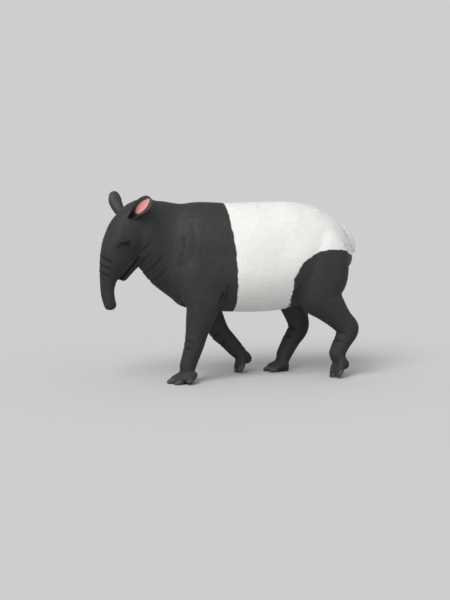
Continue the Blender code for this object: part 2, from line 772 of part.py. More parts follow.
def build():
    for obj in list(bpy.data.objects):
        bpy.data.objects.remove(obj)

    forms = [torso_form(), neck_form(), head_form(SKULL), head_form(JAW)]
    hooves, fetlocks = {}, {}
    for name in FEET:
        kind, which = name.split("_")
        side = 1 if which == "left" else -1
        joints, girths = (FORE_JOINTS, FORE_GIRTHS) if kind == "fore" else (HIND_JOINTS, HIND_GIRTHS)
        flesh, hooves[name], fetlocks[name] = foot_forms(name, side, girths[-1][2])
        forms += [leg_form([*joints[which], fetlocks[name]], girths, side), *flesh]

    pieces = parted(fused(forms), fetlocks)
    for name, by_toe in hooves.items():
        foot = name.replace("_", "foot_")
        pieces[foot] = cut(pieces[foot], [under_floor(), *(grown(hoof) for hoof in by_toe.values())])
    tail = tail_solid()
    for name in ("rump", "thigh_left", "thigh_right"):
        pieces[name] = cut(pieces[name], [grown(tail)])
    ears = {which: ear_solid(which) for which in EAR_POINTS}
    pieces["head"], eyes = head_solid(pieces["head"], ears)

    for name, mesh in pieces.items():
        place(name, mesh, WHITE_COAT if name in ("barrel", "rump") else BLACK_COAT)
    place("tail", tail, WHITE_COAT)
    for which in EAR_POINTS:
        place(f"ear_{which}", ears[which], BLACK_COAT)
        place(f"eye_{which}", eyes[which], EYE_FINISH)
    for name, by_toe in hooves.items():
        for toe, hoof in by_toe.items():
            place(f"hoof_{name}_{toe}", hoof, HOOF_FINISH)


build()
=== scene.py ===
"""Malayan tapir as a still, life-size model: skin, short coat, ears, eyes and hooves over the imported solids.

Metres, +Z up. The head points along -Y, the animal's left is +X and the floor is z = 0.
"""

import math

import bmesh
import bpy
import numpy as np
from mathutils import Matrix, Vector
from mathutils.bvhtree import BVHTree


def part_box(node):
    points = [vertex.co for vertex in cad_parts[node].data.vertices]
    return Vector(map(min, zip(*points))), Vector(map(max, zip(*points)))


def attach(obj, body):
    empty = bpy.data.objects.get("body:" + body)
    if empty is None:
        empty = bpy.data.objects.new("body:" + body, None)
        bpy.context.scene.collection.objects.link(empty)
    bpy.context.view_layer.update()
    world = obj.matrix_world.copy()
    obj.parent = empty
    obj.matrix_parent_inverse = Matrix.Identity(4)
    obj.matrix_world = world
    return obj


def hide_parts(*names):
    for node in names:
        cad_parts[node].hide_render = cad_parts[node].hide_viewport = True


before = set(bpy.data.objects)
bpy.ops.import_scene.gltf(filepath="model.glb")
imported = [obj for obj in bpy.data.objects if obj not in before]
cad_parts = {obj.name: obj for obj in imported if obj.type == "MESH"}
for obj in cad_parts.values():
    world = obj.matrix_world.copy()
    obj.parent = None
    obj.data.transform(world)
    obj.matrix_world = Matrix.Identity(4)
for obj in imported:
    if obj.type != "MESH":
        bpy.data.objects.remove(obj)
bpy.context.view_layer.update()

# Camera
# The picture shows the animal's left side, a little from the front and from above. It is flat, as
# through a long lens, so the camera stands well back.
VIEW_AZIMUTH = math.radians(78)
VIEW_ELEVATION = math.radians(7)
PICTURE_HEIGHT = 3.63  # of the real scene, at the animal
CAMERA_DISTANCE = 9.0
SENSOR = 36.0
AIM_RIGHT = -0.018
AIM_UP = 0.4635


def placed(name, data):
    """A new object of the scene."""
    new = bpy.data.objects.new(name, data)
    bpy.context.scene.collection.objects.link(new)
    return new


to_camera = Vector(
    (
        math.sin(VIEW_AZIMUTH) * math.cos(VIEW_ELEVATION),
        -math.cos(VIEW_AZIMUTH) * math.cos(VIEW_ELEVATION),
        math.sin(VIEW_ELEVATION),
    )
)
picture_right = Vector((math.cos(VIEW_AZIMUTH), math.sin(VIEW_AZIMUTH), 0.0))
picture_up = to_camera.cross(picture_right)
camera = placed("camera", bpy.data.cameras.new("camera"))
camera.data.sensor_width = SENSOR
camera.data.lens = SENSOR * CAMERA_DISTANCE / PICTURE_HEIGHT
camera.location = picture_right * AIM_RIGHT + picture_up * AIM_UP + to_camera * CAMERA_DISTANCE
camera.rotation_mode = "QUATERNION"
camera.rotation_quaternion = (-to_camera).to_track_quat("-Z", "Y")
bpy.context.scene.camera = camera
bpy.context.scene.view_settings.view_transform = "Standard"

# Trunk of the body
# A deep barrel of flesh, widest behind the ribs. It is lofted from upright ovals, as a sculptor
# builds a body over hoops, and later fused with neck, head and legs under one skin.
BACK_Y = 0.0905  # middle of the back, from which the tables below measure y
OVAL_SIDES = 40
FORM_ROWS = 44  # ovals along each form of the body, head and legs
# Rows: y, back, widest level, belly, half width
TORSO = (
    (-0.490, 0.880, 0.690, 0.590, 0.125),
    (-0.455, 0.975, 0.685, 0.510, 0.175),
    (-0.385, 1.045, 0.680, 0.440, 0.214),
    (-0.270, 1.060, 0.680, 0.410, 0.242),
    (-0.100, 1.054, 0.675, 0.398, 0.268),
    (0.090, 1.056, 0.675, 0.392, 0.286),
    (0.240, 1.058, 0.690, 0.404, 0.284),
    (0.380, 1.042, 0.710, 0.450, 0.262),
    (0.500, 0.995, 0.725, 0.525, 0.226),
    (0.595, 0.915, 0.730, 0.595, 0.175),
    (0.645, 0.835, 0.730, 0.650, 0.112),
)


def smooth_rows(rows, count, measured=3):
    """Rows at even steps along a smooth curve through the given rows.

    The first columns, as many as are measured, tell how far apart two rows are. Between them the
    curve is a cubic whose slope at a row is the harmonic mean of the slopes on both sides, or zero
    at a crest or a dip, so that it never overshoots a row.
    """
    rows = np.array(rows, float)
    steps = np.linalg.norm(np.diff(rows[:, :measured], axis=0), axis=1)
    places = np.concatenate([[0.0], np.cumsum(steps)])
    rise = np.diff(rows, axis=0) / steps[:, None]
    before, after = rise[:-1], rise[1:]
    same_way = before * after > 0
    mean = 2 * before * after / np.where(same_way, before + after, 1.0)
    slopes = np.concatenate([rise[:1], np.where(same_way, mean, 0.0), rise[-1:]])
    at = np.linspace(0, places[-1], count)
    span = np.clip(np.searchsorted(places, at, side="right") - 1, 0, len(steps) - 1)
    width = steps[span][:, None]
    t = (at - places[span])[:, None] / width
    return (
        rows[span] * (1 + 2 * t) * (1 - t) ** 2
        + slopes[span] * width * t * (1 - t) ** 2
        + rows[span + 1] * t * t * (3 - 2 * t)
        + slopes[span + 1] * width * t * t * (t - 1)
    )


def unit(vectors):
    return vectors / np.linalg.norm(vectors, axis=-1, keepdims=True)


def ovals(rows, sides=OVAL_SIDES, upright=False):
    """Ovals carried along a path, as an array of rings of points.

    A row is x, y, z, the reach on the side of across x along, the reach on the other side and the
    half width. Each oval is square to the path, or stands upright.
    """
    along = unit(np.gradient(rows[:, :3], axis=0))
    if upright:
        along = np.broadcast_to(np.array((0.0, 1.0, 0.0)), along.shape)
    across = unit(np.array((1.0, 0.0, 0.0)) - along[:, :1] * along)
    up = np.cross(across, along)
    angle = np.linspace(0, 2 * math.pi, sides, endpoint=False)
    reach = np.where(np.sin(angle) > 0, rows[:, 3:4], rows[:, 4:5]) * np.sin(angle)
    width = rows[:, 5:6] * np.cos(angle)
    return rows[:, None, :3] + width[..., None] * across[:, None] + reach[..., None] * up[:, None]


def closed_tube(rings, bulge=0.55, dome=(30, 58, 80)):
    """Points and faces of a tube through rings, each end rounded by smaller rings and a cap."""
    ends = []
    for end, inner in ((rings[0], rings[1]), (rings[-1], rings[-2])):
        middle = end.mean(axis=0)
        outward = unit(middle - inner.mean(axis=0)) * bulge * np.linalg.norm(end - middle, axis=1).min()
        slope = np.radians(dome)[:, None, None]
        ends.append(middle + (end - middle) * np.cos(slope) + outward * np.sin(slope))
    rings = np.concatenate([ends[0][::-1], rings, ends[1]])
    count, sides = rings.shape[:2]
    grid = np.arange(count * sides).reshape(count, sides)
    beside = np.roll(grid, -1, axis=1)
    sides_faces = np.stack([grid[:-1], beside[:-1], beside[1:], grid[1:]], axis=-1).reshape(-1, 4)
    return rings.reshape(-1, 3), [*sides_faces.tolist(), grid[0].tolist(), grid[-1].tolist()]


def torso_tube():
    y, back, widest, belly, half = smooth_rows(TORSO, FORM_ROWS).T
    rows = np.stack([0 * y, y + BACK_Y, widest, back - widest, widest - belly, half], axis=1)
    return closed_tube(ovals(rows, upright=True), bulge=0.3)


forms = [torso_tube()]

# Neck and head
# The neck is thick and carries the head low, turned a little to the left. The head is a high narrow
# skull that runs on without a step into a short trunk, with a slim jaw under it.
# Neck rows: y, z, reach up, reach down, half width
NECK = (
    (-0.310, 0.720, 0.325, 0.270, 0.205),
    (-0.420, 0.775, 0.300, 0.245, 0.180),
    (-0.515, 0.832, 0.262, 0.206, 0.150),
    (-0.600, 0.892, 0.212, 0.164, 0.126),
    (-0.665, 0.934, 0.162, 0.142, 0.110),
)
# Head rows, in its own frame: u from nape to nose, v up from that line, reach up and down, half width
SKULL = (
    (-0.107, -0.052, 0.100, 0.122, 0.092),
    (-0.050, -0.022, 0.124, 0.128, 0.102),
    (0.020, -0.004, 0.136, 0.128, 0.108),
    (0.090, 0.000, 0.135, 0.124, 0.109),
    (0.171, -0.004, 0.119, 0.110, 0.100),
    (0.252, -0.019, 0.094, 0.089, 0.078),
    (0.322, -0.043, 0.070, 0.069, 0.060),
    (0.382, -0.074, 0.052, 0.048, 0.049),
    (0.428, -0.108, 0.044, 0.040, 0.045),
    (0.460, -0.145, 0.041, 0.037, 0.046),
    (0.482, -0.180, 0.037, 0.034, 0.046),
)
JAW = (
    (-0.010, -0.082, 0.070, 0.068, 0.082),
    (0.070, -0.096, 0.070, 0.078, 0.092),
    (0.145, -0.106, 0.062, 0.068, 0.084),
    (0.215, -0.114, 0.050, 0.050, 0.065),
    (0.275, -0.122, 0.036, 0.037, 0.050),
    (0.315, -0.130, 0.024, 0.026, 0.039),
)
HEAD_AT = np.array((0.0, BACK_Y - 0.655, 0.945))
HEAD_DOWN = math.radians(50)
HEAD_TURN = math.radians(15)
TURN_STARTS = BACK_Y - 0.400
TURN_REACH = 0.240
NOSE_WAY = np.array((0.0, -math.cos(HEAD_DOWN), -math.sin(HEAD_DOWN)))
CROWN_WAY = np.array((0.0, -math.sin(HEAD_DOWN), math.cos(HEAD_DOWN)))
HEAD_AXES = np.array((NOSE_WAY, CROWN_WAY, (1.0, 0.0, 0.0)))


def turned(points, stiff=False, back=False):
    """Points turned left about an upright line at the withers, by an angle that grows along the neck.

    A stiff turn has the head's whole angle everywhere, and a turn back undoes it.
    """
    points = np.asarray(points, float)
    share = 1.0 if stiff or back else np.clip((TURN_STARTS - points[..., 1]) / TURN_REACH, 0, 1)
    angle = HEAD_TURN * share * share * (3 - 2 * share) * (-1 if back else 1)
    x, y = points[..., 0], points[..., 1] - TURN_STARTS
    across = x * np.cos(angle) - y * np.sin(angle)
    along = x * np.sin(angle) + y * np.cos(angle) + TURN_STARTS
    return np.stack([across, along, points[..., 2]], axis=-1)


def from_head(places):
    """Places u, v, w of the head's frame as points of the animal."""
    return turned(HEAD_AT + np.asarray(places, float) @ HEAD_AXES, stiff=True)


def to_head(points):
    """Points of the animal as u, v, w in the head's frame."""
    return (turned(points, back=True) - HEAD_AT) @ HEAD_AXES.T


def way_from_head(way):
    """A direction in the head's frame as a direction in the animal's."""
    return unit(from_head(way) - from_head((0.0, 0.0, 0.0)))


def neck_rings():
    y, z, up, down, half = smooth_rows(NECK, FORM_ROWS, 2).T
    return turned(ovals(np.stack([0 * y, y + BACK_Y, z, down, up, half], axis=1)))


def head_rings(stations):
    u, v, up, down, half = smooth_rows(stations, FORM_ROWS, 2).T
    line = HEAD_AT + u[:, None] * NOSE_WAY + v[:, None] * CROWN_WAY
    return turned(ovals(np.concatenate([line, np.stack([down, up, half], axis=1)], axis=1)))


skull_rings = head_rings(SKULL)
forms += [closed_tube(rings) for rings in (neck_rings(), skull_rings, head_rings(JAW))]

# Legs
# Stout above the elbow and stifle and slender below the wrist and hock. The animal is in mid-stride:
# the left forefoot and the right hind foot are planted, and the other two push off on their toes.
# Joints as (y, z), from inside the body to the wrist or hock; the fetlock comes from the foot
JOINTS = {
    "fore_left": ((-0.280, 0.820), (-0.318, 0.650), (-0.282, 0.470), (-0.322, 0.240)),
    "fore_right": ((-0.280, 0.820), (-0.305, 0.650), (-0.235, 0.470), (-0.112, 0.255)),
    "hind_left": ((0.400, 0.890), (0.440, 0.745), (0.420, 0.510), (0.618, 0.292)),
    "hind_right": ((0.400, 0.890), (0.430, 0.745), (0.330, 0.520), (0.385, 0.280)),
}
# Girths: bone, share along it, distance from the middle plane, reach forward, reach back, half width
FORE_GIRTHS = (
    (0, 0.0, 0.118, 0.090, 0.100, 0.055),
    (1, 0.0, 0.158, 0.125, 0.125, 0.082),
    (1, 0.6, 0.164, 0.112, 0.122, 0.086),
    (2, 0.0, 0.162, 0.098, 0.110, 0.084),
    (2, 0.45, 0.156, 0.080, 0.088, 0.072),
    (2, 0.9, 0.150, 0.065, 0.066, 0.061),
    (3, 0.0, 0.150, 0.064, 0.063, 0.061),
    (3, 0.5, 0.150, 0.055, 0.056, 0.054),
    (3, 1.0, 0.150, 0.053, 0.050, 0.055),
)
HIND_GIRTHS = (
    (0, 0.0, 0.110, 0.120, 0.100, 0.075),
    (1, 0.0, 0.148, 0.170, 0.172, 0.112),
    (1, 0.5, 0.156, 0.158, 0.182, 0.120),
    (2, 0.0, 0.155, 0.124, 0.154, 0.109),
    (2, 0.35, 0.150, 0.100, 0.112, 0.092),
    (2, 0.8, 0.147, 0.069, 0.077, 0.065),
    (3, 0.0, 0.146, 0.062, 0.072, 0.061),
    (3, 0.5, 0.146, 0.056, 0.058, 0.055),
    (3, 1.0, 0.146, 0.051, 0.048, 0.053),
)
# Feet: place along y of the fetlock, or of the toes' tips on a tipped foot, tip and turn-out in degrees
FEET = {
    "fore_left": (-0.368, 0.0, 5.0),
    "fore_right": (0.000, 52.0, 4.0),
    "hind_left": (0.525, 44.0, 6.0),
    "hind_right": (0.290, 0.0, 6.0),
}
FETLOCK_HEIGHT = 0.088
# Pad under the fetlock: height, reach forward, reach back, half width
PAD = (
    (0.096, 0.042, 0.034, 0.042),
    (0.060, 0.046, 0.036, 0.046),
    (0.028, 0.044, 0.038, 0.048),
    (0.004, 0.038, 0.034, 0.043),
    (-0.004, 0.032, 0.029, 0.038),
)
# Toes: place outward, direction outward in degrees, size, how far back, how far up
TOES = {
    "inner": (-0.036, -13.0, 0.88, 0.012, 0.0),
    "middle": (0.000, 0.0, 1.00, 0.000, 0.0),
    "outer": (0.036, 13.0, 0.88, 0.012, 0.0),
    "small": (0.050, 38.0, 0.66, 0.040, 0.014),
}
TOE_LENGTH = 0.088
TOE_RADIUS = 0.032
TOE_ROOT = 0.004  # how far ahead of the fetlock a toe begins
TOE_ROWS = 9
TOE_SIDES = 20
PAD_ROWS = 10
# Toe rows: distance, height, half height, half width
TOE = (
    (0.000, 0.062, TOE_RADIUS * 0.95, TOE_RADIUS),
    (0.030, 0.045, TOE_RADIUS, TOE_RADIUS),
    (0.060, 0.030, TOE_RADIUS * 0.9, TOE_RADIUS),
    (TOE_LENGTH, 0.023, TOE_RADIUS * 0.7, TOE_RADIUS * 0.86),
)
HOOF_TIP = 0.020  # how far the hoof's tip lies past the toe's end
HOOF_TIP_RISE = 0.004
HOOF_DIP = 0.004  # how far a tipped foot's hooves are cut by the floor


def side_of(foot):
    return 1.0 if foot.endswith("left") else -1.0


def toes_of(foot):
    return ("inner", "middle", "outer", "small") if foot.startswith("fore") else ("inner", "middle", "outer")


def foot_frame(foot):
    """A foot's place and its axes forward, outward and up, tipped on to its toes where it pushes off."""
    y, tip, turn_out = FEET[foot]
    side = side_of(foot)
    out = (FORE_GIRTHS if foot.startswith("fore") else HIND_GIRTHS)[-1][2]
    tip, turn = math.radians(tip), math.radians(side * turn_out)
    axes = np.array(((0.0, -1.0, 0.0), (side, 0.0, 0.0), (0.0, 0.0, 1.0)))
    lean = np.array(((1, 0, 0), (0, math.cos(tip), -math.sin(tip)), (0, math.sin(tip), math.cos(tip))))
    yaw = np.array(((math.cos(turn), -math.sin(turn), 0), (math.sin(turn), math.cos(turn), 0), (0, 0, 1)))
    axes = axes @ (yaw @ lean).T
    place = np.array((side * out, y + BACK_Y, 0.0))
    if tip:
        ends = np.array((TOE_LENGTH + HOOF_TIP, 0, HOOF_TIP_RISE)) @ axes
        place = np.array((place[0] - ends[0], place[1] - ends[1], -HOOF_DIP - ends[2]))
    return place, axes


def from_foot(foot, places):
    """Places forward, outward and up in a foot's frame as points of the animal."""
    place, axes = foot_frame(foot)
    return place + places @ axes


def toe_rings(toe, stations, count, sides):
    """Ovals along a toe, in its foot's frame and times the toe's size."""
    place_out, way_out, size, back, lift = TOES[toe]
    way = np.array((math.cos(math.radians(way_out)), math.sin(math.radians(way_out)), 0.0))
    across = np.array((-way[1], way[0], 0.0))
    far, height, tall, wide = (smooth_rows(stations, count) * size).T
    middle = np.array((TOE_ROOT - back, place_out, lift)) + far[:, None] * way
    middle[:, 2] += height
    angle = np.linspace(0, 2 * math.pi, sides, endpoint=False)
    rise = tall[:, None] * np.sin(angle)
    return middle[:, None] + (wide[:, None] * np.cos(angle))[..., None] * across + rise[..., None] * (0, 0, 1)


def leg_rings(foot):
    """Ovals down a leg, from inside the body to its fetlock."""
    fetlock = from_foot(foot, np.array((0.0, 0.0, FETLOCK_HEIGHT)))
    joints = np.array([(y + BACK_Y, z) for y, z in JOINTS[foot]] + [tuple(fetlock[1:])])
    girths = np.array(FORE_GIRTHS if foot.startswith("fore") else HIND_GIRTHS)
    bone, share = girths[:, 0].astype(int), girths[:, 1:2]
    level = joints[bone] * (1 - share) + joints[bone + 1] * share
    out, forward, back, half = girths[:, 2:].T
    rows = np.stack([side_of(foot) * out, level[:, 0], level[:, 1], back, forward, half], axis=1)
    return ovals(smooth_rows(rows, FORM_ROWS))


def pad_rings():
    """Level ovals down the pad, in its foot's frame."""
    height, front, back, half = smooth_rows(PAD, PAD_ROWS).T
    angle = np.linspace(0, 2 * math.pi, OVAL_SIDES, endpoint=False)
    reach = np.where(np.sin(angle) > 0, front[:, None], back[:, None]) * np.sin(angle)
    width = half[:, None] * np.cos(angle)
    return np.stack([reach, width, np.broadcast_to(height[:, None], width.shape)], axis=-1)


leg_lines = {}
for foot in FEET:
    rings = leg_rings(foot)
    leg_lines[foot] = rings
    forms.append(closed_tube(rings))
    forms.append(closed_tube(from_foot(foot, pad_rings())))
    for toe in toes_of(foot):
        forms.append(closed_tube(from_foot(foot, toe_rings(toe, TOE, TOE_ROWS, TOE_SIDES))))

# Tail
# A short stub, thick where it leaves the rump and tapered to a blunt tip.
# Rows: y, z, radius
TAIL = (
    (0.545, 0.892, 0.046),
    (0.605, 0.878, 0.038),
    (0.650, 0.845, 0.030),
    (0.675, 0.803, 0.023),
    (0.688, 0.765, 0.017),
    (0.692, 0.745, 0.013),
)
TAIL_ROWS = 14
TAIL_SIDES = 20


def tail_rings():
    y, z, radius = smooth_rows(TAIL, TAIL_ROWS, 2).T
    return ovals(np.stack([0 * y, y + BACK_Y, z, radius, radius, radius], axis=1), TAIL_SIDES)


forms.append(closed_tube(tail_rings()))

# Skin
# One hide from nose to tail. The overlapping forms are fused on a fine grid and softened as flesh
# softens the bones under it. The hide lies inside the solids by the depth of the coat.
FUSE_GRID = 0.0085
SOFTENING = 16  # passes
HEAD_SPARED, FEET_SPARED, TAIL_SPARED = 0.64, 0.85, 0.80  # shares of the softening
COAT_DEPTH = 0.0018


def mesh_from(name, points, *blocks):
    """A mesh from an array of points and arrays of faces, each array with one number of corners."""
    mesh = bpy.data.meshes.new(name)
    mesh.vertices.add(len(points))
    mesh.vertices.foreach_set("co", np.asarray(points, np.float32).ravel())
    corners = np.concatenate([np.asarray(block).ravel() for block in blocks])
    sizes = np.concatenate([np.full(len(block), np.shape(block)[1]) for block in blocks])
    mesh.loops.add(len(corners))
    mesh.loops.foreach_set("vertex_index", corners.astype(np.int32))
    mesh.polygons.add(len(sizes))
    mesh.polygons.foreach_set("loop_start", np.concatenate([[0], np.cumsum(sizes)[:-1]]).astype(np.int32))
    mesh.update(calc_edges=True)
    return mesh


def points_of(mesh):
    points = np.empty(len(mesh.vertices) * 3, np.float32)
    mesh.vertices.foreach_get("co", points)
    return points.reshape(-1, 3).astype(float)


def set_points(mesh, points):
    mesh.vertices.foreach_set("co", points.astype(np.float32).ravel())
    mesh.update()


def normals_of(mesh):
    normals = np.empty(len(mesh.vertices) * 3, np.float32)
    mesh.vertex_normals.foreach_get("vector", normals)
    return normals.reshape(-1, 3).astype(float)


def eased(mesh, values, weight, passes):
    """Values at the mesh's points after passes of easing.

    In each pass a point's value moves half way to the mean of its neighbours', times its weight.
    """
    ends = np.empty(len(mesh.edges) * 2, np.int32)
    mesh.edges.foreach_get("vertices", ends)
    a, b = ends.reshape(-1, 2).T
    count = len(values)
    neighbours = np.bincount(np.concatenate([a, b]), minlength=count)
    for _ in range(passes):
        total = [np.bincount(a, column[b], count) + np.bincount(b, column[a], count) for column in values.T]
        mean = np.stack(total, axis=1) / neighbours[:, None]
        values = values + (mean - values) * 0.5 * weight[:, None]
    return values


def relaxed(mesh, weight, passes):
    return eased(mesh, points_of(mesh), weight, passes)


def outward_faces(mesh):
    work = bmesh.new()
    work.from_mesh(mesh)
    bmesh.ops.recalc_face_normals(work, faces=work.faces)
    work.to_mesh(mesh)
    work.free()


def with_modifiers(body):
    """The mesh that an object's modifiers make, and the object is removed."""
    result = bpy.data.meshes.new_from_object(body.evaluated_get(bpy.context.evaluated_depsgraph_get()))
    bpy.data.objects.remove(body)
    return result


def nearest(points, places):
    """Distance of each point to the nearest of some places."""
    return np.min([np.linalg.norm(points - place, axis=1) for place in places], axis=0)


def fused_mesh():
    """All forms fused on the grid and softened, least on head, feet and tail."""
    points, faces, count = [], [], 0
    for form_points, form_faces in forms:
        points.append(form_points)
        faces += [[corner + count for corner in face] for face in form_faces]
        count += len(form_points)
    mesh = bpy.data.meshes.new("forms")
    mesh.from_pydata(np.concatenate(points).tolist(), [], faces)
    outward_faces(mesh)
    body = placed("forms", mesh)
    fuse = body.modifiers.new("fuse", "REMESH")
    fuse.mode = "VOXEL"
    fuse.voxel_size = FUSE_GRID
    fused = with_modifiers(body)
    points = points_of(fused)
    head = np.clip((BACK_Y - 0.56 - points[:, 1]) / 0.06, 0, 1)
    feet = np.clip((0.104 - points[:, 2]) / 0.035, 0, 1)
    stub = np.clip((0.055 - nearest(points, tail_rings().mean(axis=1)[5:])) / 0.020, 0, 1)
    spared = np.max([HEAD_SPARED * head, FEET_SPARED * feet, TAIL_SPARED * stub], axis=0)
    set_points(fused, relaxed(fused, 1 - spared, SOFTENING))
    return fused


def from_span(points, start, span):
    """Share of a straight span at each point's nearest place on it, and the distance to that place."""
    t = np.clip((points - start) @ span / (span @ span), 0, 1)
    return t, np.linalg.norm(points - start - t[:, None] * span, axis=1)


def near_path(points, path):
    """Distance of each point to a path of straight spans, and the share of the path at its nearest place."""
    best = np.full(len(points), np.inf)
    share = np.zeros(len(points))
    for place, (start, span) in enumerate(zip(path[:-1], np.diff(path, axis=0))):
        t, gap = from_span(points, start, span)
        closer = gap < best
        best[closer] = gap[closer]
        share[closer] = (place + t[closer]) / (len(path) - 1)
    return best, share


def smooth_step(low, high, values):
    t = np.clip((values - low) / (high - low), 0, 1)
    return t * t * (3 - 2 * t)


def tree_of(mesh):
    corners = [tuple(face.vertices) for face in mesh.polygons]
    return BVHTree.FromPolygons(points_of(mesh).tolist(), corners)


def on_surface(tree, path):
    """A path's points moved to the nearest places of a surface."""
    return np.array([tree.find_nearest(Vector(point))[0] for point in path])


def curved(path, count=26):
    """A smooth curve with many points through a few."""
    return smooth_rows(path, count)


def ring_path(rings, place, first, last, drift=0.0):
    """A line round a tube from one angle to another, which drifts along it towards its middle."""
    angle = np.radians(np.linspace(first, last, 25))
    row = place + drift * np.sin(np.linspace(0, math.pi, 25))
    low = np.clip(row.astype(int), 0, len(rings) - 2)
    turn = (angle / (2 * math.pi) * rings.shape[1]) % rings.shape[1]
    side, part = turn.astype(int), (turn % 1)[:, None]
    share = (row - low)[:, None]

    def at(rows, sides):
        return rings[rows, sides % rings.shape[1]]

    near = at(low, side) * (1 - part) + at(low, side + 1) * part
    far = at(low + 1, side) * (1 - part) + at(low + 1, side + 1) * part
    return near * (1 - share) + far * share


def row_at_height(rings, height):
    """The row of a leg's rings whose middle is at a height."""
    middles = rings.mean(axis=1)[:, 2]
    return float(np.interp(-height, -middles, np.arange(len(rings))))


def mirrored(path):
    return np.asarray(path) * (-1, 1, 1)


def on_body(path):
    """Places given with y from the middle of the back."""
    return np.asarray(path, float) + (0, BACK_Y, 0)


fused_tree = tree_of(skin_mesh := fused_mesh())


def beside_head(places, side):
    """Places u, v of the head thrown out sideways on to the skin."""
    way = Vector(way_from_head((0, 0, side)))
    hits = []
    for u, v in places:
        start = Vector(from_head((u, v, 0.0)))
        hits.append(fused_tree.ray_cast(start + way * 0.3, -way)[0] or fused_tree.find_nearest(start)[0])
    return np.array(hits)


TAIL_GROOVE = ((0.060, 0.560, 0.950), (0.043, 0.635, 0.868), (0.032, 0.664, 0.800), (0.0, 0.672, 0.722))
BELOW_TAIL = ((0.0, 0.672, 0.720), (0.0, 0.668, 0.640), (0.0, 0.640, 0.560), (0.0, 0.590, 0.500))
# Creases: path, depth, half width of the groove, height of the rims beside it
MOUTH = (
    (0.138, -0.094),
    (0.160, -0.101),
    (0.200, -0.108),
    (0.260, -0.112),
    (0.310, -0.1155),
    (0.330, -0.1185),
)
TRUNK_FOLD_ROWS = (26.2, 28.7, 31.2)
TRUNK_FOLD_ANGLES = (196, 346)
creases = []
for row in TRUNK_FOLD_ROWS:
    creases.append((ring_path(skull_rings, row, *TRUNK_FOLD_ANGLES, drift=-0.6), 0.0042, 0.0032, 0.0009))
for row, first, last, depth in (
    (24.2, 232, 318, 0.0012),
    (27.4, 226, 306, 0.0010),
    (30.0, 240, 322, 0.0011),
    (32.9, 222, 322, 0.0020),
    (34.6, 214, 326, 0.0014),
    (36.2, 226, 330, 0.0018),
    (37.7, 216, 316, 0.0012),
    (39.2, 228, 326, 0.0012),
):
    creases.append((ring_path(skull_rings, row, first, last, drift=-0.35), depth, 0.0018, 0.0005))
for foot, rings in leg_lines.items():
    joint = JOINTS[foot][3][1] - (0.0 if foot.startswith("fore") else 0.036)
    for rise, first, last in ((0.006, 192, 348), (-0.040, 198, 342)):
        row = row_at_height(rings, joint + rise)
        path = on_surface(fused_tree, ring_path(rings, row, first, last, drift=0.35))
        creases.append((path, 0.0034, 0.0050, 0.0006))
for side in (1, -1):
    for path, depth, width, rim in (
        # before the thigh
        (((0.205, 0.255, 0.425), (0.232, 0.268, 0.500), (0.245, 0.300, 0.590)), 0.0060, 0.0090, 0.0020),
        # where the neck meets the shoulder
        (((0.160, -0.392, 0.880), (0.178, -0.400, 0.780), (0.172, -0.418, 0.680)), 0.0040, 0.0110, 0.0020),
        (((0.140, -0.352, 0.960), (0.190, -0.338, 0.860), (0.206, -0.342, 0.740)), 0.0030, 0.0120, 0.0015),
    ):
        path = curved(on_body(path if side > 0 else mirrored(path)))
        creases.append((on_surface(fused_tree, turned(path)), depth, width, rim))
for path, depth, width, rim in (
    # behind the elbows, of which the right one is drawn back
    (((0.215, -0.160, 0.560), (0.205, -0.176, 0.500), (0.185, -0.198, 0.440)), 0.0070, 0.0080, 0.0020),
    (((0.235, -0.142, 0.600), (0.225, -0.148, 0.520), (0.200, -0.158, 0.455)), 0.0028, 0.0060, 0.0012),
    (((-0.225, -0.136, 0.560), (-0.215, -0.112, 0.500), (-0.190, -0.096, 0.440)), 0.0060, 0.0080, 0.0015),
    # under the tail, beside it, and along the back
    (BELOW_TAIL, 0.0140, 0.0150, 0.0030),
    (TAIL_GROOVE, 0.0046, 0.0100, 0.0),
    (mirrored(TAIL_GROOVE), 0.0046, 0.0100, 0.0),
    (((0.0, -0.200, 1.060), (0.0, 0.100, 1.058), (0.0, 0.400, 1.035)), 0.0030, 0.0220, 0.0010),
):
    creases.append((on_surface(fused_tree, curved(on_body(path))), depth, width, rim))
neck_lines = neck_rings()
for row, first, last, depth, width in (
    (15.5, 24, 150, 0.0030, 0.0100),
    (21.8, 10, 168, 0.0034, 0.0088),
    (28.6, 30, 172, 0.0026, 0.0078),
    (33.4, 14, 140, 0.0028, 0.0066),
):
    path = on_surface(fused_tree, ring_path(neck_lines, row, first, last, drift=1.4))
    creases.append((path, depth, width, depth * 0.30))
lips_left, lips_right = beside_head(MOUTH, 1), beside_head(MOUTH, -1)
lips_front = fused_tree.find_nearest(Vector(from_head((0.352, -0.1185, 0.0))))[0]
mouth_line = on_surface(fused_tree, curved(np.concatenate([lips_left, [lips_front], lips_right[::-1]]), 90))
creases.append((mouth_line, 0.0075, 0.0023, 0.0016))

# Swellings and hollows: place, radius, height; on the body with y from the middle of the back
BODY_RELIEF = (
    ((0.245, -0.105, 0.880), 0.075, -0.0060),
    ((0.255, -0.125, 0.740), 0.075, -0.0060),
    ((0.170, -0.295, 0.960), 0.060, 0.0040),
    ((0.225, -0.285, 0.820), 0.070, 0.0045),
    ((0.215, -0.345, 0.660), 0.055, 0.0045),
    ((0.215, -0.235, 0.610), 0.045, 0.0040),
    ((0.200, -0.225, 0.480), 0.026, 0.0045),
    ((0.165, -0.430, 0.820), 0.060, -0.0050),
    ((0.190, 0.300, 1.000), 0.060, 0.0045),
    ((0.265, 0.225, 0.820), 0.090, -0.0075),
    ((0.245, 0.345, 0.760), 0.075, 0.0045),
    ((0.190, 0.545, 0.720), 0.070, 0.0040),
    ((0.215, 0.470, 0.640), 0.045, -0.0040),
    ((0.200, 0.300, 0.560), 0.040, 0.0045),
    ((0.080, 0.600, 0.800), 0.050, 0.0030),
)
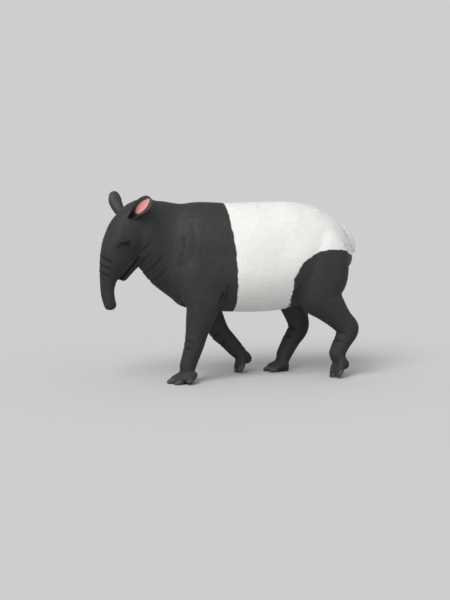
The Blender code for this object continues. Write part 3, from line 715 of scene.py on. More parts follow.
HEAD_RELIEF = (
    ((0.148, 0.064), 0.020, 0.0036),
    ((0.186, 0.062), 0.016, 0.0018),
    ((0.218, 0.018), 0.024, -0.0038),
    ((0.100, 0.062), 0.026, -0.0034),
    ((0.150, -0.024), 0.018, 0.0022),
    ((0.195, -0.034), 0.018, 0.0020),
    ((0.110, -0.018), 0.018, 0.0020),
    ((0.052, -0.062), 0.038, 0.0042),
    ((0.020, -0.010), 0.026, -0.0026),
    ((0.150, -0.070), 0.022, -0.0024),
    ((0.250, -0.052), 0.022, 0.0018),
    ((0.300, -0.036), 0.018, -0.0014),
)


def relief_places():
    """Centre on the skin, radius and height of each swelling and hollow, on both sides."""
    for side in (1, -1):
        for place, radius, height in BODY_RELIEF:
            centre = turned(on_body(place) * (side, 1, 1))
            yield on_surface(fused_tree, [centre])[0], radius, height
        for place, radius, height in HEAD_RELIEF:
            yield beside_head((place,), side)[0], radius, height


# Eyes and nostrils: the eyes' lids, the slit between them, and the pits at the trunk's tip
EYE_RADIUS = 0.0165
LID_THICKNESS = 0.0015
LID_BLEND = 0.0050
LID_EDGE = 0.0006
SLIT_HALF = 0.0180
SLIT_ARCH = 0.0062
SLIT_OPEN = 0.0023
CORNER_REACH = 0.037  # of the crease past each corner, from the middle
SLIT_TILT = math.radians(46)
eye_frames = {}
for side, name in ((1, "left"), (-1, "right")):
    low, high = (np.array(corner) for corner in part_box(f"eye_{name}"))
    centre = (low + high) / 2
    outward = unit(np.array(fused_tree.find_nearest(Vector(centre))[0]) - centre)
    fore = way_from_head((1.0, 0.0, 0.0))
    fore = unit(fore - fore @ outward * outward)
    rise = np.cross(outward, fore) * side
    rise = rise if rise[2] > 0 else -rise
    ahead = fore * math.cos(SLIT_TILT) + rise * math.sin(SLIT_TILT)
    above = rise * math.cos(SLIT_TILT) - fore * math.sin(SLIT_TILT)
    eye_frames[name] = centre, np.array((ahead, above, outward))
tip_way = unit(skull_rings[-1].mean(axis=0) - skull_rings[-2].mean(axis=0))
tip_back = np.cross(way_from_head((0, 0, 1)), tip_way)
NOSTRIL_OUT = 0.0185
NOSTRIL_HALVES = (0.0075, 0.0105)
NOSTRIL_DEPTH = 0.013
NOSTRIL_RIM = 0.0016
nostrils = [
    from_head((0.482, -0.180, side * NOSTRIL_OUT)) + tip_way * 0.018 - tip_back * 0.008 for side in (1, -1)
]


def slit_height(a):
    """How high the slit between the lids, and the crease that runs on from it, lie at a place along them.

    Both follow one arch: a parabola out of the corners.
    """
    return SLIT_ARCH * (0.45 - (a / SLIT_HALF) ** 2)


def eye_creases():
    """Paths of the fold above each upper lid, the one below the lower lid and those at the corners."""
    a = np.linspace(-1, 1, 25)
    for centre, axes in eye_frames.values():
        for shift, reach, arch, depth, width in (
            (0.0100, 0.026, 0.0110, 0.0022, 0.0016),
            (0.0150, 0.024, 0.0100, 0.0010, 0.0014),
            (-0.0100, 0.022, -0.0030, 0.0015, 0.0018),
            (-0.0150, 0.018, -0.0030, 0.0008, 0.0016),
        ):
            places = np.stack([a * reach, shift - arch * a * a, 0 * a + 0.012], axis=1)
            yield on_surface(fused_tree, centre + places @ axes), depth, width, 0.0005
        for way in (1, -1):
            corner = way * np.linspace(0.014, CORNER_REACH, 14)
            places = np.stack([corner, slit_height(corner), 0 * corner + 0.010], axis=1)
            yield on_surface(fused_tree, centre + places @ axes), 0.0030, 0.0020, 0.0006


creases += list(eye_creases())

# Ears: where they grow in the head's frame, and the ways they point and open
EAR_AT = (0.014, 0.064, 0.046)
EAR_POINTS = {"left": (0.46, 0.56, 0.68), "right": (-0.42, -0.34, 0.84)}
EAR_OPENS = {"left": (0.80, -0.55, -0.10), "right": (-0.92, -0.35, 0.0)}
EAR_LENGTH = 0.178
EAR_PIT_DEPTH = 0.042
# Rows: share of the length, radius of the arc, half angle that it wraps
EAR_ARCS = (
    (0.00, 0.022, 150),
    (0.22, 0.025, 135),
    (0.38, 0.033, 106),
    (0.56, 0.042, 81),
    (0.75, 0.048, 60),
    (0.90, 0.047, 42),
    (1.00, 0.043, 15),
)


def ear_axes(name):
    """An ear's root on the head, and its axes across, forward and along."""
    axis = unit(np.array(EAR_POINTS[name]))
    front = np.array(EAR_OPENS[name])
    front = unit(front - front @ axis * axis)
    u, v, w = EAR_AT
    return from_head((u, v, w if name == "left" else -w)), np.array((np.cross(front, axis), front, axis))


def in_ear_cup(name, points):
    """Distance of each point from the middle of an ear's cup, over the cup's radius there."""
    root, (across, front, axis) = ear_axes(name)
    offset = points - root
    share = offset @ axis / EAR_LENGTH
    radius = np.interp(share, [row[0] for row in EAR_ARCS], [row[1] for row in EAR_ARCS])
    far = np.hypot(offset @ across, offset @ front - radius) / radius
    return np.where(np.abs(share) < 0.5, far, 9.0)


def cut_finer(mesh, chosen):
    """The mesh with the edges of every chosen face halved."""
    middles = np.empty(len(mesh.polygons) * 3, np.float32)
    mesh.polygons.foreach_get("center", middles)
    picked = chosen(middles.reshape(-1, 3).astype(float))
    work = bmesh.new()
    work.from_mesh(mesh)
    edges = {edge for face, pick in zip(work.faces, picked) if pick for edge in face.edges}
    bmesh.ops.subdivide_edges(work, edges=list(edges), cuts=1, use_grid_fill=True, use_single_edge=True)
    work.to_mesh(mesh)
    work.free()


def around(points, path, reach):
    """Whether each point lies in the box round a path, made larger by the reach."""
    return np.all((points > path.min(axis=0) - reach) & (points < path.max(axis=0) + reach), axis=1)


def near_creases(points, reach, widest):
    """Whether each point is near a crease that is no wider than given."""
    near = np.zeros(len(points), bool)
    for path, _, width, _ in creases:
        if width > widest:
            continue
        inside = around(points, path, reach)
        near[inside] |= near_path(points[inside], path)[0] < reach
    return near


eye_places = [centre for centre, _ in eye_frames.values()]
trunk_places = skull_rings[38:].mean(axis=1)
ear_places = [from_head((EAR_AT[0], 0.110, side * 0.072)) for side in (1, -1)]


# Places where the skin's faces are halved once, twice, three and four times
def level_one(points):
    u = to_head(points)[:, 0]
    head = (points[:, 1] < TURN_STARTS - 0.05) & (u > 0.02)
    return head | (points[:, 2] < 0.10) | near_creases(points, 0.018, 0.0085)


def level_two(points):
    return (
        near_creases(points, 0.008, 0.0040)
        | (nearest(points, trunk_places) < 0.062)
        | (nearest(points, eye_places) < 0.045)
        | (nearest(points, ear_places) < 0.050)
    )


def level_three(points):
    return (
        (nearest(points, eye_places) < 0.030)
        | (nearest(points, nostrils) < 0.020)
        | near_creases(points, 0.0045, 0.0025)
    )


def level_four(points):
    near = np.zeros(len(points), bool)
    for centre, axes in eye_frames.values():
        a, b, height = ((points - centre) @ axes.T).T
        near |= (np.abs(a) < 0.022) & (np.abs(b) < 0.009) & (height > 0)
    return near


for chosen, passes in ((level_one, 3), (level_two, 3), (level_three, 3), (level_four, 2)):
    cut_finer(skin_mesh, chosen)
    set_points(skin_mesh, relaxed(skin_mesh, chosen(points_of(skin_mesh)).astype(float), passes))


def shaped_points():
    """The skin's points moved along their normals.

    The move is the coat's depth inwards, plus a bell curve for each swelling or hollow, plus for each
    crease a narrow bell downwards with a low bell on each side, faded out towards its ends.
    """
    points, normals = points_of(skin_mesh), normals_of(skin_mesh)
    tip = np.linalg.norm(points - np.mean(nostrils, axis=0), axis=1)
    eye = nearest(points, eye_places)
    bareness = (0.35 + 0.65 * smooth_step(0.02, 0.07, tip)) * (0.35 + 0.65 * smooth_step(0.02, 0.06, eye))
    move = -COAT_DEPTH * smooth_step(0.0, 0.05, points[:, 2]) * bareness
    for centre, radius, height in relief_places():
        near = np.linalg.norm(points - centre, axis=1) < radius * 2.6
        move[near] += height * np.exp(-(np.linalg.norm(points[near] - centre, axis=1) / radius) ** 2)
    for path, depth, width, rim in creases:
        inside = around(points, path, 5 * width)
        far, share = near_path(points[inside], path)
        groove = -depth * np.exp(-((far / width) ** 2)) + rim * np.exp(-(((far - 2.3 * width) / width) ** 2))
        move[inside] += groove * smooth_step(0, 0.16, share) * smooth_step(0, 0.16, 1 - share)
    return points + move[:, None] * normals


def in_folds(points):
    """How deep in a crease each point lies: one at the bottom of a sharp deep one, none away from them.

    The creases' paths lie on the flesh, so the distance from them is counted from under them. The value
    darkens skin and hair there as painted shade, and thins the hair.
    """
    deepest = np.zeros(len(points))
    for path, depth, width, _ in creases:
        inside = around(points, path, 4 * width)
        far, share = near_path(points[inside], path)
        beside = np.sqrt(np.clip(far**2 - (0.8 * depth + COAT_DEPTH) ** 2, 0, None))
        fade = smooth_step(0, 0.12, share) * smooth_step(0, 0.12, 1 - share)
        strength = min(1.0, depth / 0.0030) * min(1.0, 0.0048 / width) ** 2
        dark = strength * fade * np.exp(-((beside / (1.15 * width)) ** 2))
        deepest[inside] = np.maximum(deepest[inside], dark)
    return deepest


def with_nostrils(points):
    """Pits at the tip of the trunk, sunk along it by the depth times one less the ellipse's square."""
    for place in nostrils:
        offset = points - place
        side = offset @ way_from_head((0, 0, 1)) / NOSTRIL_HALVES[0]
        back = offset @ tip_back / NOSTRIL_HALVES[1]
        far = np.hypot(side, back)
        near = (np.linalg.norm(offset, axis=1) < 0.030) & (offset @ tip_way > -0.012)
        rim = NOSTRIL_RIM * np.exp(-(((far - 1.3) / 0.28) ** 2))
        sink = NOSTRIL_DEPTH * np.clip(1 - far**2, 0, 1) ** 0.6 - rim
        points = points - np.where(near, sink, 0.0)[:, None] * tip_way
    return points


def with_lids(points):
    """Lids drawn over each eye.

    The skin rises to a ball a little larger than the eye, by a smooth maximum of the two. Along a low
    arch it parts, and sinks there below the eye's own surface. The lids' edges stand up a little.
    """
    for centre, axes in eye_frames.values():
        place = (points - centre) @ axes.T
        near = (np.linalg.norm(place[:, :2], axis=1) < 0.032) & (place[:, 2] > -0.004)
        a, b, height = place[near].T
        from_middle = a * a + b * b
        ball = np.sqrt(np.clip((EYE_RADIUS + LID_THICKNESS) ** 2 - from_middle, 1e-8, None))
        ball -= np.clip(np.sqrt(from_middle) - EYE_RADIUS, 0, None) * 2.5
        lids = np.logaddexp(height / LID_BLEND, ball / LID_BLEND) * LID_BLEND
        lids -= LID_BLEND * math.log(2) * np.exp(-(((height - ball) / LID_BLEND) ** 2)) * 0.5
        off = np.abs(b - slit_height(a))
        to_corner = (a / SLIT_HALF) ** 2
        open_half = SLIT_OPEN * np.sqrt(np.clip(1 - to_corner, 0, 1))
        edge = np.exp(-(((off - open_half - 0.0012) / 0.0010) ** 2)) * np.clip(1.15 - to_corner, 0, 1)
        lids += LID_EDGE * edge
        parted = (1 - smooth_step(open_half - 0.0003, open_half + 0.0005, off)) * (open_half > 0)
        eye = np.sqrt(np.clip(EYE_RADIUS**2 - from_middle, 1e-8, None)) - 0.0022
        lids = lids * (1 - parted) + np.minimum(eye, lids) * parted
        place[near, 2] = lids
        points[near] = centre + place[near] @ axes
    return points


def with_ear_hollows(points):
    """The skin inside each ear's cup sunk along the ear, most in its middle."""
    for name in ("left", "right"):
        far = in_ear_cup(name, points)
        sink = EAR_PIT_DEPTH * np.clip(1 - (far / 0.86) ** 2, 0, 1) ** 0.35
        points = points - sink[:, None] * ear_axes(name)[1][2]
    return points


set_points(skin_mesh, with_ear_hollows(with_lids(with_nostrils(shaped_points()))))
SKIN_TRIANGLES = 194000


def thinned(mesh, triangles):
    """The mesh with its flattest places made coarser until it has no more than so many triangles."""
    mesh.calc_loop_triangles()
    body = placed("thinned", mesh)
    thin = body.modifiers.new("thin", "DECIMATE")
    thin.ratio = triangles / len(mesh.loop_triangles)
    result = with_modifiers(body)
    result.name = "skin"
    return result


skin_mesh = thinned(skin_mesh, SKIN_TRIANGLES)
floored = points_of(skin_mesh)
floored[:, 2] = np.maximum(floored[:, 2], 0.0)
set_points(skin_mesh, floored)

# Saddle's border, front line and back line as (y, z), with y from the middle of the back
SADDLE_FRONT = (
    (-0.128, 1.120),
    (-0.122, 1.030),
    (-0.112, 0.930),
    (-0.096, 0.800),
    (-0.088, 0.640),
    (-0.080, 0.500),
    (-0.072, 0.355),
)
SADDLE_BACK = (
    (0.280, 0.330),
    (0.268, 0.400),
    (0.248, 0.500),
    (0.250, 0.620),
    (0.305, 0.715),
    (0.390, 0.768),
    (0.500, 0.785),
    (0.598, 0.765),
    (0.645, 0.734),
    (0.700, 0.678),
)
SADDLE_FOOT = 0.370  # below the belly, above the lower legs


def inside_saddle(points):
    """Distance of each point inside the saddle's border, less than zero outside it.

    It is the lesser of the distance behind the front line and the distance above the back line, plus a
    few sines of the place that make the border waver as hair does.
    """
    y, z = points[:, 1] - BACK_Y, points[:, 2]
    front_y, front_z = np.array(SADDLE_FRONT).T
    behind = y - np.interp(z, front_z[::-1], front_y[::-1])
    line = np.array(SADDLE_BACK)
    far, _ = near_path(np.stack([y, z], axis=1), line)
    path_y, path_z = line.T
    below = (z < np.interp(y, path_y[2:], path_z[2:])) & (y > path_y[2])
    low = (z < path_z[2]) & (y > np.interp(z, path_z[:3], path_y[:3]))
    above = np.where(below | low, -far, far)
    above = np.minimum(above, z - SADDLE_FOOT)
    waver = 0.0018 * np.sin(z * 61 + 1.3 * np.sin(y * 47))
    waver += 0.0016 * np.sin(z * 143 + y * 97 + points[:, 0] * 70)
    return np.minimum(behind, above) + waver


def add_values(mesh, name, values):
    mesh.attributes.new(name, "FLOAT", "POINT").data.foreach_set("value", values.astype(np.float32))


skin_points = points_of(skin_mesh)
add_values(skin_mesh, "saddle", inside_saddle(skin_points))
bare = np.exp(-((near_path(skin_points, mouth_line)[0] / 0.006) ** 2))
for place in nostrils:
    bare = np.maximum(bare, 1 - smooth_step(0.010, 0.030, np.linalg.norm(skin_points - place, axis=1)))
# Bare dark hide round each eye's slit: the lids' bare margins, widened along the slit and out along the corner
# creases as painted shade.
for centre, axes in eye_frames.values():
    a, b, height = ((skin_points - centre) @ axes.T).T
    half = 0.0026 + 0.0040 * (1 - smooth_step(0.012, 0.026, np.abs(a)))
    rim = np.exp(-(((b - slit_height(a)) / half) ** 4)) * np.exp(-((a / CORNER_REACH) ** 8))
    bare = np.maximum(bare, rim * (height > -0.004))
# How deep in a crease each point lies, used as painted shade and to thin the hair.
folds = in_folds(skin_points)
in_cup = np.min([in_ear_cup(name, skin_points) for name in ("left", "right")], axis=0)
bare = np.where(in_cup < 1.02, 1.0, bare)
add_values(skin_mesh, "ear_pit", in_cup)
add_values(skin_mesh, "bare", bare)
add_values(skin_mesh, "fold", folds)

skin = placed("skin", skin_mesh)
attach(skin, "root")
flesh_nodes = ["head", "neck", "chest", "barrel", "rump", "tail"]
for side in ("left", "right"):
    flesh_nodes += [f"{part}_{side}" for part in ("foreleg", "forefoot", "thigh", "shank", "hindfoot")]
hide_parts(*flesh_nodes)
skin_mesh.shade_smooth()


def feed(tree, node, inputs):
    """Sets a node's inputs to numbers, colours or other nodes' outputs."""
    for key, value in inputs.items():
        if isinstance(value, bpy.types.NodeSocket):
            tree.links.new(value, node.inputs[key])
        else:
            node.inputs[key].default_value = value


def add_node(tree, kind, inputs=None, **settings):
    """A shader node with its settings and its inputs."""
    new = tree.nodes.new(kind)
    for key, value in settings.items():
        setattr(new, key, value)
    feed(tree, new, inputs or {})
    return new


def own_place(tree):
    return add_node(tree, "ShaderNodeTexCoord").outputs["Object"]


def attribute(tree, name):
    return add_node(tree, "ShaderNodeAttribute", attribute_name=name).outputs["Fac"]


def noise(tree, place, scale, detail):
    """A cloudy value of the place, about 0.5."""
    inputs = {"Vector": place, "Scale": scale, "Detail": detail}
    return add_node(tree, "ShaderNodeTexNoise", inputs).outputs["Fac"]


def calculated(tree, operation, *values):
    return add_node(tree, "ShaderNodeMath", dict(enumerate(values)), operation=operation).outputs[0]


def ranged(tree, value, low, high, first=0.0, last=1.0, **settings):
    """A value between low and high as one between first and last."""
    limits = {0: value, 1: low, 2: high, 3: first, 4: last}
    return add_node(tree, "ShaderNodeMapRange", limits, **settings).outputs[0]


def blended(tree, share, first, second):
    """A colour between two, by a share."""
    return add_node(tree, "ShaderNodeMix", {0: share, 6: first, 7: second}, data_type="RGBA").outputs[2]


def bumped(tree, height, strength, distance):
    """A normal bent by the slope of a height."""
    inputs = {"Strength": strength, "Distance": distance, "Height": height}
    return add_node(tree, "ShaderNodeBump", inputs).outputs[0]


def new_group(name, inputs, outputs):
    """A shader node group with sockets given as (name, type, default)."""
    tree = bpy.data.node_groups.new(name, "ShaderNodeTree")
    for label, kind, default in inputs:
        tree.interface.new_socket(label, in_out="INPUT", socket_type=kind).default_value = default
    for label, kind in outputs:
        tree.interface.new_socket(label, in_out="OUTPUT", socket_type=kind)
    return tree, tree.nodes.new("NodeGroupInput"), tree.nodes.new("NodeGroupOutput")


def hide_grain_group():
    """Fine grain of a hide: small cells and softer mottling, from the object's own coordinates."""
    tree, given, result = new_group(
        "hide grain",
        [("Scale", "NodeSocketFloat", 1.0), ("Wrinkle", "NodeSocketFloat", 0.5)],
        [("Height", "NodeSocketFloat"), ("Mottle", "NodeSocketFloat")],
    )
    place = own_place(tree)
    inputs = {0: place, "Scale": given.outputs["Scale"]}
    sized = add_node(tree, "ShaderNodeVectorMath", inputs, operation="SCALE").outputs[0]
    cells = add_node(tree, "ShaderNodeTexVoronoi", {"Vector": sized, "Scale": 420.0}, feature="F1")
    inputs = {0: given.outputs["Wrinkle"], 2: cells.outputs["Distance"], 3: noise(tree, sized, 130.0, 4.0)}
    height = add_node(tree, "ShaderNodeMix", inputs, data_type="FLOAT").outputs[0]
    feed(tree, result, {"Height": height, "Mottle": noise(tree, place, 14.0, 3.0)})
    return tree


hide_grain = hide_grain_group()
# The darker charcoal and white are the hide's mottle and also the hair's roots, which are darkened there as
# painted shade.
CHARCOAL = (0.051, 0.050, 0.052, 1)
CHARCOAL_MOTTLE_AND_ROOT_SHADE = (0.026, 0.025, 0.026, 1)
WHITE = (0.88, 0.875, 0.86, 1)
WHITE_MOTTLE_AND_ROOT_SHADE = (0.80, 0.785, 0.76, 1)
BARE_HIDE = (0.016, 0.014, 0.014, 1)
# Painted shade at the bottom of creases.
FOLD_SHADE = (0.010, 0.009, 0.009, 1)
# Painted shade deep in the ears' cups.
EAR_PIT_SHADE = (0.022, 0.015, 0.014, 1)


def material_of(name):
    material = bpy.data.materials.new(name)
    material.use_nodes = True
    shader = material.node_tree.nodes["Principled BSDF"]
    return material, material.node_tree, shader


def skin_material():
    """Hide under short fur, charcoal or white by the saddle's border, and bare and moist without fur, darkened
    as painted shade in creases and deep in the ears' cups.
    """
    material, tree, shader = material_of("skin")
    grain = add_node(tree, "ShaderNodeGroup", {"Scale": 1.0, "Wrinkle": 0.45}, node_tree=hide_grain).outputs
    naked = attribute(tree, "bare")
    border = ranged(tree, attribute(tree, "saddle"), -0.0015, 0.0015, interpolation_type="SMOOTHSTEP")
    dark = blended(tree, grain["Mottle"], CHARCOAL_MOTTLE_AND_ROOT_SHADE, CHARCOAL)
    pale = blended(tree, grain["Mottle"], WHITE_MOTTLE_AND_ROOT_SHADE, WHITE)
    hide = blended(tree, naked, blended(tree, border, dark, pale), BARE_HIDE)
    # Painted shade: the hide darkened in creases.
    folded = blended(tree, attribute(tree, "fold"), hide, FOLD_SHADE)
    # Painted shade deep in the ears' cups.
    pitted = ranged(tree, attribute(tree, "ear_pit"), 0.96, 0.86)
    finish = {
        "Base Color": blended(tree, pitted, folded, EAR_PIT_SHADE),
        "Roughness": ranged(tree, naked, 0.0, 1.0, 0.72, 0.42),
        "Normal": bumped(tree, grain["Height"], 0.5, 0.0012),
        "Specular IOR Level": 0.16,
    }
    feed(tree, shader, finish)
    return material


skin_mesh.materials.append(skin_material())

# Eyes
# Balls of very dark brown glass, set where the real ones sit. Only a low arched slit of them shows
# between the lids.
EYE_SIDES = 48
PUPIL = (0.002, 0.002, 0.002, 1)
IRIS_DEEP = (0.010, 0.006, 0.004, 1)
IRIS = (0.022, 0.012, 0.007, 1)


def globe(centre, radius, axes, count=EYE_SIDES):
    """A ball as rings of points: half circles turned about the axis that looks out of the eye."""
    polar = np.linspace(0, math.pi, count // 2 + 1)[1:-1, None]
    round_it = np.linspace(0, 2 * math.pi, count, endpoint=False)[None]
    level = np.cos(polar) + 0 * round_it
    rings = np.stack([np.sin(polar) * np.cos(round_it), np.sin(polar) * np.sin(round_it), level], axis=-1)
    points = np.concatenate([rings.reshape(-1, 3), [(0, 0, 1), (0, 0, -1)]]) * radius
    grid = np.arange(rings.shape[0] * count).reshape(-1, count)
    beside = np.roll(grid, -1, axis=1)
    body = np.stack([grid[:-1], grid[1:], beside[1:], beside[:-1]], axis=-1).reshape(-1, 4)
    top, bottom = len(points) - 2, len(points) - 1
    caps = np.concatenate(
        [
            np.stack([np.full(count, top), grid[0], beside[0]], axis=1),
            np.stack([np.full(count, bottom), beside[-1], grid[-1]], axis=1),
        ]
    )
    return centre + points @ axes, body, caps


def smooth_outside(mesh):
    outward_faces(mesh)
    mesh.shade_smooth()


def add_piece(name, mesh, slot, *nodes):
    """An object of a mesh that rides on the body and stands for the nodes."""
    piece = placed(name, mesh)
    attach(piece, "root")
    if nodes:
        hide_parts(*nodes)
    return piece


def eye_material():
    """Dark brown iris round a black pupil, under a wet clear surface."""
    material, tree, shader = material_of("eye")
    iris = blended(tree, noise(tree, own_place(tree), 900.0, 3.0), IRIS_DEEP, IRIS)
    ring = ranged(tree, attribute(tree, "from_axis"), 0.35, 0.42)
    finish = {"Base Color": blended(tree, ring, PUPIL, iris), "Roughness": 0.10, "Specular IOR Level": 0.12}
    feed(tree, shader, finish)
    return material


glass = eye_material()
for name, (centre, axes) in eye_frames.items():
    points, body, caps = globe(centre, EYE_RADIUS, axes)
    eye_mesh = mesh_from(f"eye_ball_{name}", points, body, caps)
    smooth_outside(eye_mesh)
    local = (points - centre) @ axes.T
    add_values(eye_mesh, "from_axis", np.hypot(local[:, 0], local[:, 1]) / EYE_RADIUS)
    eye_mesh.materials.append(glass)
    add_piece(f"eye_ball_{name}", eye_mesh, "eye", f"eye_{name}")

# Ears
# Upright leaves of thin hide, rolled into a cup at the root and opened towards a rounded tip. They
# are furred outside and bare and pink inside.
EAR_WALL = 0.0050
EAR_SINK = 0.030
EAR_ROUNDED = 0.90  # share of the length past which the tip is rounded off
EAR_ROWS = 60
EAR_TIP_ROWS = 18
EAR_COLUMNS = 41
# The bare lining: a narrow lens within the cup, as shares of the rows and of the half width
LINING_MIDDLE = 0.49
LINING_HALF_LENGTH = 0.31
LINING_HALF_WIDTH = 0.44
LINING_DEEP = (0.78, 0.27, 0.26, 1)
LINING = (0.98, 0.42, 0.40, 1)


def ear_leaf(name):
    """Points and outward ways of an ear's outer face, as a grid.

    Each row is an arc of a circle, square to the ear's length. Its middle lies on the ear's back, and
    its ends are the two rims. The last rows narrow as a half ellipse does, and round the tip.
    """
    root, (across, front, axis) = ear_axes(name)
    round_tip = np.linspace(0, math.pi / 2, EAR_TIP_ROWS)
    share = np.concatenate(
        [
            np.linspace(0, EAR_ROUNDED, EAR_ROWS - EAR_TIP_ROWS + 1)[:-1],
            EAR_ROUNDED + (1 - EAR_ROUNDED) * np.sin(round_tip),
        ]
    )
    fine = smooth_rows(EAR_ARCS, 200, 1)
    radius, wrap = (np.interp(share, fine[:, 0], fine[:, column]) for column in (1, 2))
    wrap = np.radians(wrap)
    wrap[-EAR_TIP_ROWS:] = wrap[-EAR_TIP_ROWS] * (0.02 + 0.98 * np.cos(round_tip))
    angle = wrap[:, None] * np.linspace(-1, 1, EAR_COLUMNS)
    curl = 0.0025 * np.sin(share * 9.0)[:, None] * (angle / wrap[:, None]) ** 2
    out = np.sin(angle)[..., None] * across - np.cos(angle)[..., None] * front
    middle = root + axis * (share * EAR_LENGTH)[:, None] + front * radius[:, None]
    sunk = np.clip(1 - share / 0.12, 0, 1)[:, None, None] * EAR_SINK * axis
    return middle[:, None] + out * (radius[:, None] + curl)[..., None] - sunk, out


def ear_mesh(name):
    """The outer face and, a wall's thickness inside it, the inner one, joined round their border."""
    outer, out = ear_leaf(name)
    share = np.linspace(0, 1, EAR_ROWS)[:, None]
    side = np.abs(np.linspace(-1, 1, EAR_COLUMNS))[None]
    wall = EAR_WALL * (1 - 0.62 * share**1.5) * np.sqrt(np.clip(1.04 - side**6, 0.05, 1))
    inner = outer - out * wall[..., None]
    points = np.concatenate([outer.reshape(-1, 3), inner.reshape(-1, 3)])
    grid = np.arange(EAR_ROWS * EAR_COLUMNS).reshape(EAR_ROWS, EAR_COLUMNS)
    inside = grid + grid.size

    def quads(sheet):
        corners = [sheet[:-1, :-1], sheet[1:, :-1], sheet[1:, 1:], sheet[:-1, 1:]]
        return np.stack(corners, axis=-1).reshape(-1, 4)

    def wall_quads(a, b):
        return np.stack([a[:-1], a[1:], b[1:], b[:-1]], axis=-1)

    blocks = [quads(grid), quads(inside)[:, ::-1]]
    for border in (np.s_[0], np.s_[-1], np.s_[:, 0], np.s_[:, -1]):
        blocks.append(wall_quads(grid[border], inside[border]))
    mesh = mesh_from(f"ear_{name}_leaf", points, np.concatenate(blocks))
    smooth_outside(mesh)
    lined = np.concatenate([np.zeros(grid.size), np.ones(grid.size)])
    lens = (side / LINING_HALF_WIDTH) ** 1.5 + ((share - LINING_MIDDLE) / LINING_HALF_LENGTH) ** 2
    add_values(mesh, "lining", lined * (1 - np.tile(smooth_step(0.86, 1.14, lens).ravel(), 2)))
    # Painted shade deep in the cup, towards its root.
    add_values(mesh, "deep", lined * (1 - np.tile(smooth_step(0.14, 0.27, share + 0 * side).ravel(), 2)))
    return mesh


def ear_material():
    """Charcoal outside and round the rim, darkened deep in the cup as painted shade, and mottled pink hide
    between.
    """
    material, tree, shader = material_of("ear")
    grain = add_node(tree, "ShaderNodeGroup", {"Scale": 1.3, "Wrinkle": 0.6}, node_tree=hide_grain).outputs
    pink = blended(tree, grain["Mottle"], LINING_DEEP, LINING)
    lined = blended(tree, attribute(tree, "lining"), CHARCOAL, pink)
    finish = {
        "Base Color": blended(tree, attribute(tree, "deep"), lined, EAR_PIT_SHADE),
        "Normal": bumped(tree, grain["Height"], 0.35, 0.0008),
        "Roughness": 0.62,
        "Subsurface Weight": 0.12,
        "Subsurface Radius": (0.006, 0.002, 0.001),
    }
    feed(tree, shader, finish)
    return material


ear_hide = ear_material()
for name in ("left", "right"):
    leaf = ear_mesh(name)
    leaf.materials.append(ear_hide)
    add_piece(f"ear_{name}_leaf", leaf, "black_coat", f"ear_{name}")

# Hooves
# A small blunt hoof of dark horn caps each toe: four on a forefoot and three on a hind foot. The
# horn grows in faint rings and is worn pale at its edge.
HOOF_START = TOE_LENGTH - 0.026
HOOF_LENGTH = 0.052
HOOF_HALF_WIDTH = 0.029
HOOF_TOP = 0.020
# Rows: distance, height of the middle, half height, half width
HOOF = (
    (HOOF_START, 0.98 * HOOF_TOP, 0.90 * HOOF_TOP, 0.92 * HOOF_HALF_WIDTH),
    (HOOF_START + 0.35 * HOOF_LENGTH, 0.92 * HOOF_TOP, 1.02 * HOOF_TOP, 1.05 * HOOF_HALF_WIDTH),
    (HOOF_START + 0.70 * HOOF_LENGTH, 0.72 * HOOF_TOP, 0.82 * HOOF_TOP, HOOF_HALF_WIDTH),
    (HOOF_START + HOOF_LENGTH, 0.46 * HOOF_TOP, 0.52 * HOOF_TOP, 0.74 * HOOF_HALF_WIDTH),
)
HOOF_ROWS = 30
HOOF_SIDES = 44
HORN_DEEP = (0.020, 0.018, 0.017, 1)
HORN = (0.062, 0.056, 0.050, 1)
HORN_WORN = (0.16, 0.145, 0.125, 1)


def hoof_mesh(foot, toe, name):
    """A hoof as ovals along its toe, domed at both ends, with growth rings and its base on the floor."""
    rings = toe_rings(toe, HOOF, HOOF_ROWS, HOOF_SIDES)
    share = np.linspace(0, 1, HOOF_ROWS)
    middle = rings.mean(axis=1, keepdims=True)
    growth = 1 + 0.008 * np.sin(share * 40) + 0.006 * np.sin(share * 17 + 1)
    rings = middle + (rings - middle) * growth[:, None, None]
    points, faces = closed_tube(rings, 0.55, (18, 35, 50, 64, 76, 84))
    points = from_foot(foot, points)
    points[:, 2] = np.maximum(points[:, 2], 0.0)
    mesh = bpy.data.meshes.new(name)
    mesh.from_pydata(points.tolist(), [], faces)
    smooth_outside(mesh)
    place, axes = foot_frame(foot)
    size = TOES[toe][2]
    forward = ((points - place) @ axes.T)[:, 0]
    add_values(mesh, "along", (forward - HOOF_START) / (HOOF_LENGTH * size))
    add_values(mesh, "height", points[:, 2])
    return mesh


def hoof_material():
    """Dark mottled horn with bands across its growth, and a paler worn edge near the ground."""
    material, tree, shader = material_of("hoof")
    grain = noise(tree, own_place(tree), 160.0, 5.0)
    bands = calculated(tree, "SINE", calculated(tree, "MULTIPLY", attribute(tree, "along"), 34.0))
    wear = ranged(tree, attribute(tree, "height"), 0.010, 0.001, 0.0, 0.55)
    finish = {
        "Base Color": blended(tree, wear, blended(tree, grain, HORN_DEEP, HORN), HORN_WORN),
        "Roughness": ranged(tree, grain, 0.0, 1.0, 0.34, 0.58),
        "Normal": bumped(tree, calculated(tree, "MULTIPLY_ADD", bands, 0.3, grain), 0.4, 0.0006),
    }
    feed(tree, shader, finish)
    return material


horn = hoof_material()
for foot in FEET:
    for toe in toes_of(foot):
        hoof = hoof_mesh(foot, toe, f"horn_{foot}_{toe}")
        hoof.materials.append(horn)
        add_piece(f"horn_{foot}_{toe}", hoof, "hoof", f"hoof_{foot}_{toe}")

# Coat
# Short straight hair that lies flat: back from the nose, back and down on the body and down the
# legs. It is modelled as thin overlapping locks rooted in the hide, smallest on face and feet.
LOCK_SEED = 7
LOCK_WIDTH = 0.21  # of its length
